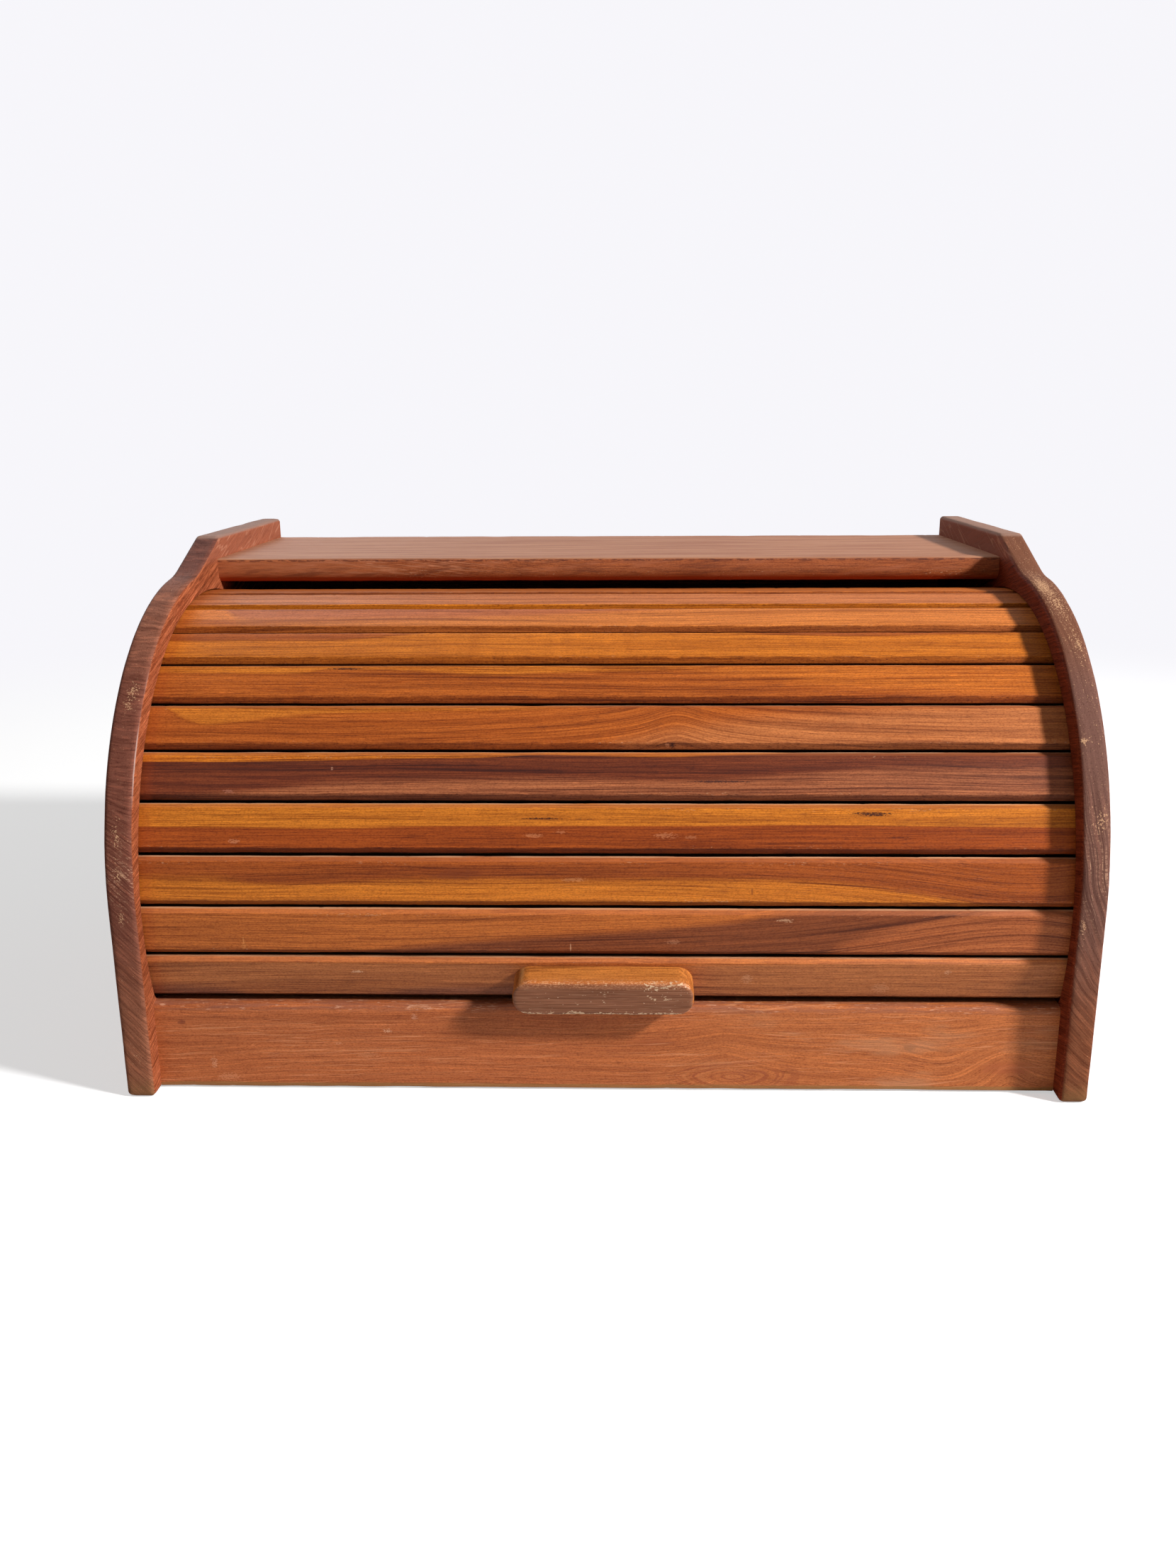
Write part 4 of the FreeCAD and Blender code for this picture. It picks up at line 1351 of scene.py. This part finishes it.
def handleShade(finish, colour, run, along, across, depth):
    # The front has lost its oil: grey-brown with fine pale grain, and chips along its edges
    front = finish.rise(depth, 11.6, 12.3)
    streak = finish.noise(run * 0.02, across * 1.3, 0.0, 3.0, 0.65)
    thin = finish.noise(run * 0.05, across * 2.6, 2.0, 2.0, 0.7)
    dull = finish.coat(
        paint((116, 70, 46)),
        (finish.rise(streak, 0.35, 0.65), (152, 98, 70)),
        (finish.rise(thin, 0.56, 0.66, 0.5), (184, 134, 104)),
        (finish.rise(thin, 0.44, 0.34, 0.4), (92, 52, 38)),
    )
    # Painted highlight: a pale golden streak on the top, over its left part
    paintedTopHighlight = finish.rise(abs(across - 5.6), 0.9, 0.3) * finish.rise(along, 4.0, -22.0)
    colour = finish.coat(colour, (paintedTopHighlight * (1.0 - front) * 0.45, (234, 172, 108)))
    colour = finish.mix(front, colour, dull)
    chip = finish.noise(run * 0.55, across * 0.9, depth * 0.9, 2.0, 0.65)
    low = finish.rise(across, -7.2, -9.0) * finish.rise(depth, 10.2, 11.8)
    high = finish.rise(across, 2.2, 6.0) * finish.rise(along, 4.0, 34.0)
    high = high * finish.rise(depth, 9.5, 11.5)
    chip = chip + low * 0.24 + high * 0.16
    for place, height, wide, tall, strength in handleLook["chipped"]:
        near = finish.dome(along, place, wide) * finish.dome(across, height, tall)
        chip = chip + near * (strength * 0.2)
    bare = finish.rise(chip, 0.70, 0.75, 0.9) * finish.rise(depth, 9.0, 10.6)
    fleck = finish.noise(run * 0.9, across * 1.6, depth * 1.6, 2.0, 0.65)
    # An orange line with pale flecks along the upper front arris: partly wear, partly a painted
    # highlight
    upper = finish.rise(across, 3.0, 5.0) * finish.dome(depth, 11.4, 0.9)
    return finish.coat(
        colour,
        (upper * 0.5, (196, 110, 62)),
        (upper * finish.rise(fleck, 0.52, 0.60, 0.9), (222, 164, 118)),
        (bare, (218, 184, 148)),
    )


makeHandle()
print("handle made")

clothShape = {
    "half": 188.0,
    "thickness": 0.6,
    "columns": 94,
    "rows": 6,  # to each slat
    "sag": 0.35,
    "fray": 0.5,
    "glue": 0.02,  # what it stands clear of the slats by
    "flat": (0.376, 0.257),  # metres
}
clothLook = {
    "thread": 0.62,
    "warp": (186, 168, 134),
    "weft": (170, 150, 116),
    "dirt": (120, 98, 70),
}


def canvasFinish(name, look):
    # Plain-woven cotton: threads over and under, with stains, and painted shade between the threads
    finish = Finish(bpy.data.materials.new(name))
    along, across, depth = finish.split(finish.layer("grain", "Vector"))
    u, v = along / look["thread"], across / look["thread"]
    wobble = (finish.noise(along * 0.3, across * 0.3, 0.0, 2.0) - 0.5) * 0.5
    warp = abs(finish.maths("SINE", (u + wobble) * math.pi))
    weft = abs(finish.maths("SINE", (v + wobble) * math.pi))
    over = finish.maths("SINE", u * math.pi) * finish.maths("SINE", v * math.pi)
    over = finish.rise(over, -0.2, 0.2)
    thread = finish.mix(over, paint(look["weft"]), paint(look["warp"]))
    slub = finish.noise(along * 0.05, across * 1.6, 2.0, 2.0)
    stain = finish.noise(along * 0.02, across * 0.03, 5.0, 3.0, 0.6)
    colour = finish.mix(finish.rise(slub, 0.5, 0.7, 0.4), thread, paint(look["warp"], 1.15))
    colour = finish.coat(colour, (finish.rise(stain, 0.45, 0.7, 0.5), look["dirt"]))
    # Painted shade: darker between the threads, in a darker copy of the dirt colour
    hollow = finish.rise(warp * weft, 0.5, 0.05, 0.7)
    colour = finish.mix(hollow, colour, paint(look["dirt"], 0.5))
    height = (warp * over + weft * (1.0 - over)) * 0.15 + slub * 0.05
    return finish.surface(colour, 0.92 - stain * 0.1, height, Specular_IOR_Level=0.15)


def makeCanvas():
    # One flat behind each slat, with the cloth easing inward where two slats meet
    half, columns, rows = clothShape["half"], clothShape["columns"], clothShape["rows"]
    outer, pitch = track["backRadius"], track["pitchAngle"]
    low = track["firstAngle"] - pitch / 2
    count = len(slatLooks) * rows
    points, grain = [], []

    def addLine(row, layer, order):
        # One line of points across the cloth, on its front or its back
        turn = math.radians(low + pitch * row / rows)
        off = (row % rows) / rows - 0.5 if row % rows else 0.5
        radius = outer / math.cos(math.radians(pitch * abs(off)))
        joined = row % rows == 0 and 0 < row < count
        for column in order:
            x = -half + 2 * half * column / columns
            if column in (0, columns):
                fray = clothShape["fray"] * (0.5 + 0.5 * ripple(row * 0.7, x, 3.0))
                x += fray if column == 0 else -fray
            sag = clothShape["sag"] * (0.6 + 0.4 * ripple(x * 0.05, row, 1.0)) if joined else 0.0
            reach = radius - sag - layer * clothShape["thickness"] - clothShape["glue"]
            y, z = track["y"] - reach * math.cos(turn), track["z"] + reach * math.sin(turn)
            points.append((x, y, z))
            grain.append((x, outer * turn, layer))

    for row in range(count + 1):
        addLine(row, 1, range(columns + 1))
        addLine(row, 0, range(columns, -1, -1))
    size = 2 * (columns + 1)
    faces = tubeFaces(size, count + 1, capped=False)
    last = count * size
    for column in range(columns):
        back = size - 1 - column
        faces.append((column, back, back - 1, column + 1))
        faces.append((last + column + 1, last + back - 1, last + back, last + column))
    cloth = dress(makeMesh("canvas_cloth", points, faces), grain, [0.0] * len(points))
    look = canvasFinish("cottonCanvas", clothLook)
    finishPiece(cloth, "roll_top", "slat_canvas", look)


makeCanvas()
print("canvas made")

screwShape = {
    "segments": 28,
    "pitch": 1.3,
    "threadDepth": 0.28,
    "threadStart": 0.7,  # past the head
    "point": 1.0,
    "slotWidth": 0.75,
    "slotDepth": 0.7,
    "turns": (0.4, 1.9),  # the first screw's slot, and how far each next one is turned
    "backInset": 0.2,  # below the box's back
}
screws = {
    "back_screws": {"body": "case", "length": 15.0, "shank": 1.5, "head": 2.9,
                    "heights": (26.0, 104.0, 186.0), "low": 7.5, "across": (-125.0, 0.0, 125.0)},
    "handle_screws": {"body": "roll_top", "length": 16.0, "shank": 1.7, "head": 3.3,
                      "across": (-24.0, 24.0)},
}


def makeScrews(node, places, material):
    # Slotted countersunk screws. Each place is a matrix that takes +Z into the wood.
    length, shank, head = [screws[node][key] for key in ("length", "shank", "head")]
    segments, pitch = screwShape["segments"], screwShape["pitch"]
    angles = [2 * math.pi * index / segments for index in range(segments)]
    profile = [(0.001, -0.10), (head * 0.6, -0.09), (head - 0.2, -0.04), (head - 0.02, 0.04)]
    profile += [(shank + 0.1, head - shank), (shank, head - shank + 0.4)]
    rings = [[(radius, height)] * segments for radius, height in profile]
    height = head - shank + screwShape["threadStart"]
    while height < length - screwShape["point"]:
        taper = min(1.0, (length - height) / 3.0)
        waves = [math.sin(2 * math.pi * height / pitch - angle) for angle in angles]
        depths = [screwShape["threadDepth"] * (0.5 - 0.5 * wave) for wave in waves]
        rings.append([((shank - depth) * taper, height) for depth in depths])
        height += pitch / 4
    points = [
        (radius * math.cos(angle), radius * math.sin(angle), z)
        for ring in rings for angle, (radius, z) in zip(angles, ring)
    ]
    last = (len(rings) - 1) * segments
    faces = tubeFaces(segments, len(rings), capped=False) + [tuple(reversed(range(segments)))]
    points.append((0, 0, length))
    for index in range(segments):
        faces.append((last + index, last + (index + 1) % segments, last + segments))
    one = faceOut(makeMesh(node + "_one", points, faces))
    width, deep = screwShape["slotWidth"] / 2, screwShape["slotDepth"]
    outline = [(-width, -1.0), (width, -1.0), (width, deep), (-width, deep)]
    cutWith(one, [solidOf(node + "_slot", outline, -head - 1, head + 1)])

    together = bmesh.new()
    first, further = screwShape["turns"]
    for number, place in enumerate(places):
        copied = one.data.copy()
        scaled = place.copy()
        scaled.translation = scaled.translation * millimetre
        copied.transform(scaled @ Matrix.Rotation(first + number * further, 4, "Z"))
        together.from_mesh(copied)
    bpy.data.objects.remove(one)
    piece = makeMesh(node + "_brass", [], [])
    together.to_mesh(piece.data)
    together.free()
    spots = [tuple(vertex.co * 1000) for vertex in piece.data.vertices]
    dress(piece, spots, [0.0] * len(spots))
    finishPiece(piece, screws[node]["body"], node, material)


def brass(name):
    finish = Finish(bpy.data.materials.new(name))
    along, across, depth = finish.split(finish.layer("grain", "Vector"))
    tarnish = finish.noise(along * 0.35, across * 0.35, depth * 0.35, 3.0, 0.6)
    scratch = finish.noise(along * 0.6, across * 7.0, depth * 7.0, 1.0)
    spots = finish.rise(finish.noise(along * 1.6, across * 1.6, depth * 1.6, 2.0), 0.60, 0.72, 0.8)
    colour = finish.coat(
        paint((196, 154, 78)),
        (finish.rise(tarnish, 0.35, 0.65), (142, 104, 54)),
        (spots, (78, 56, 34)),
    )
    roughness = 0.30 + tarnish * 0.3 + spots * 0.2
    height = (scratch - 0.5) * 0.02 - spots * 0.03
    return finish.surface(colour, roughness, height, Metallic=0.9)


def makeFixings():
    material = brass("oldBrass")
    look = screws["back_screws"]
    back = cadHigh.y * 1000 - screwShape["backInset"]
    sideX = shelfHigh.x + sideShape["rebateWidth"] / 2
    spots = [(x, z) for x in (-sideX, sideX) for z in look["heights"]]
    spots += [(x, look["low"]) for x in look["across"]]
    turned = Matrix.Rotation(math.radians(90), 4, "X")
    places = [Matrix.Translation((x, back, z)) @ turned for x, z in spots]
    makeScrews("back_screws", places, material)
    place = slatPlace(1)
    across = screws["handle_screws"]["across"]
    spots = [Vector((x, -handleShape["drop"], -clothShape["thickness"])) for x in across]
    places = [Matrix.Translation(place @ spot) @ place.to_3x3().to_4x4() for spot in spots]
    makeScrews("handle_screws", places, material)


makeFixings()
print("screws made")

nodeLooks = {
    "bottom_board": {"colour": (172, 104, 62), "grainFrom": "xyz", "seed": 61},
    "back_board": {"colour": (166, 98, 60), "grainFrom": "xzy", "seed": 67},
    "shelf_dowels": {"colour": (214, 180, 132), "grainFrom": "xyz", "seed": 71},
    "rail_dowels": {"colour": (214, 180, 132), "grainFrom": "xyz", "seed": 73},
}
for name, look in nodeLooks.items():
    materials = frame["nodes"][name].data.materials
    materials.clear()
    materials.append(teak("teak_" + name, look))
print("carried-over solids finished")
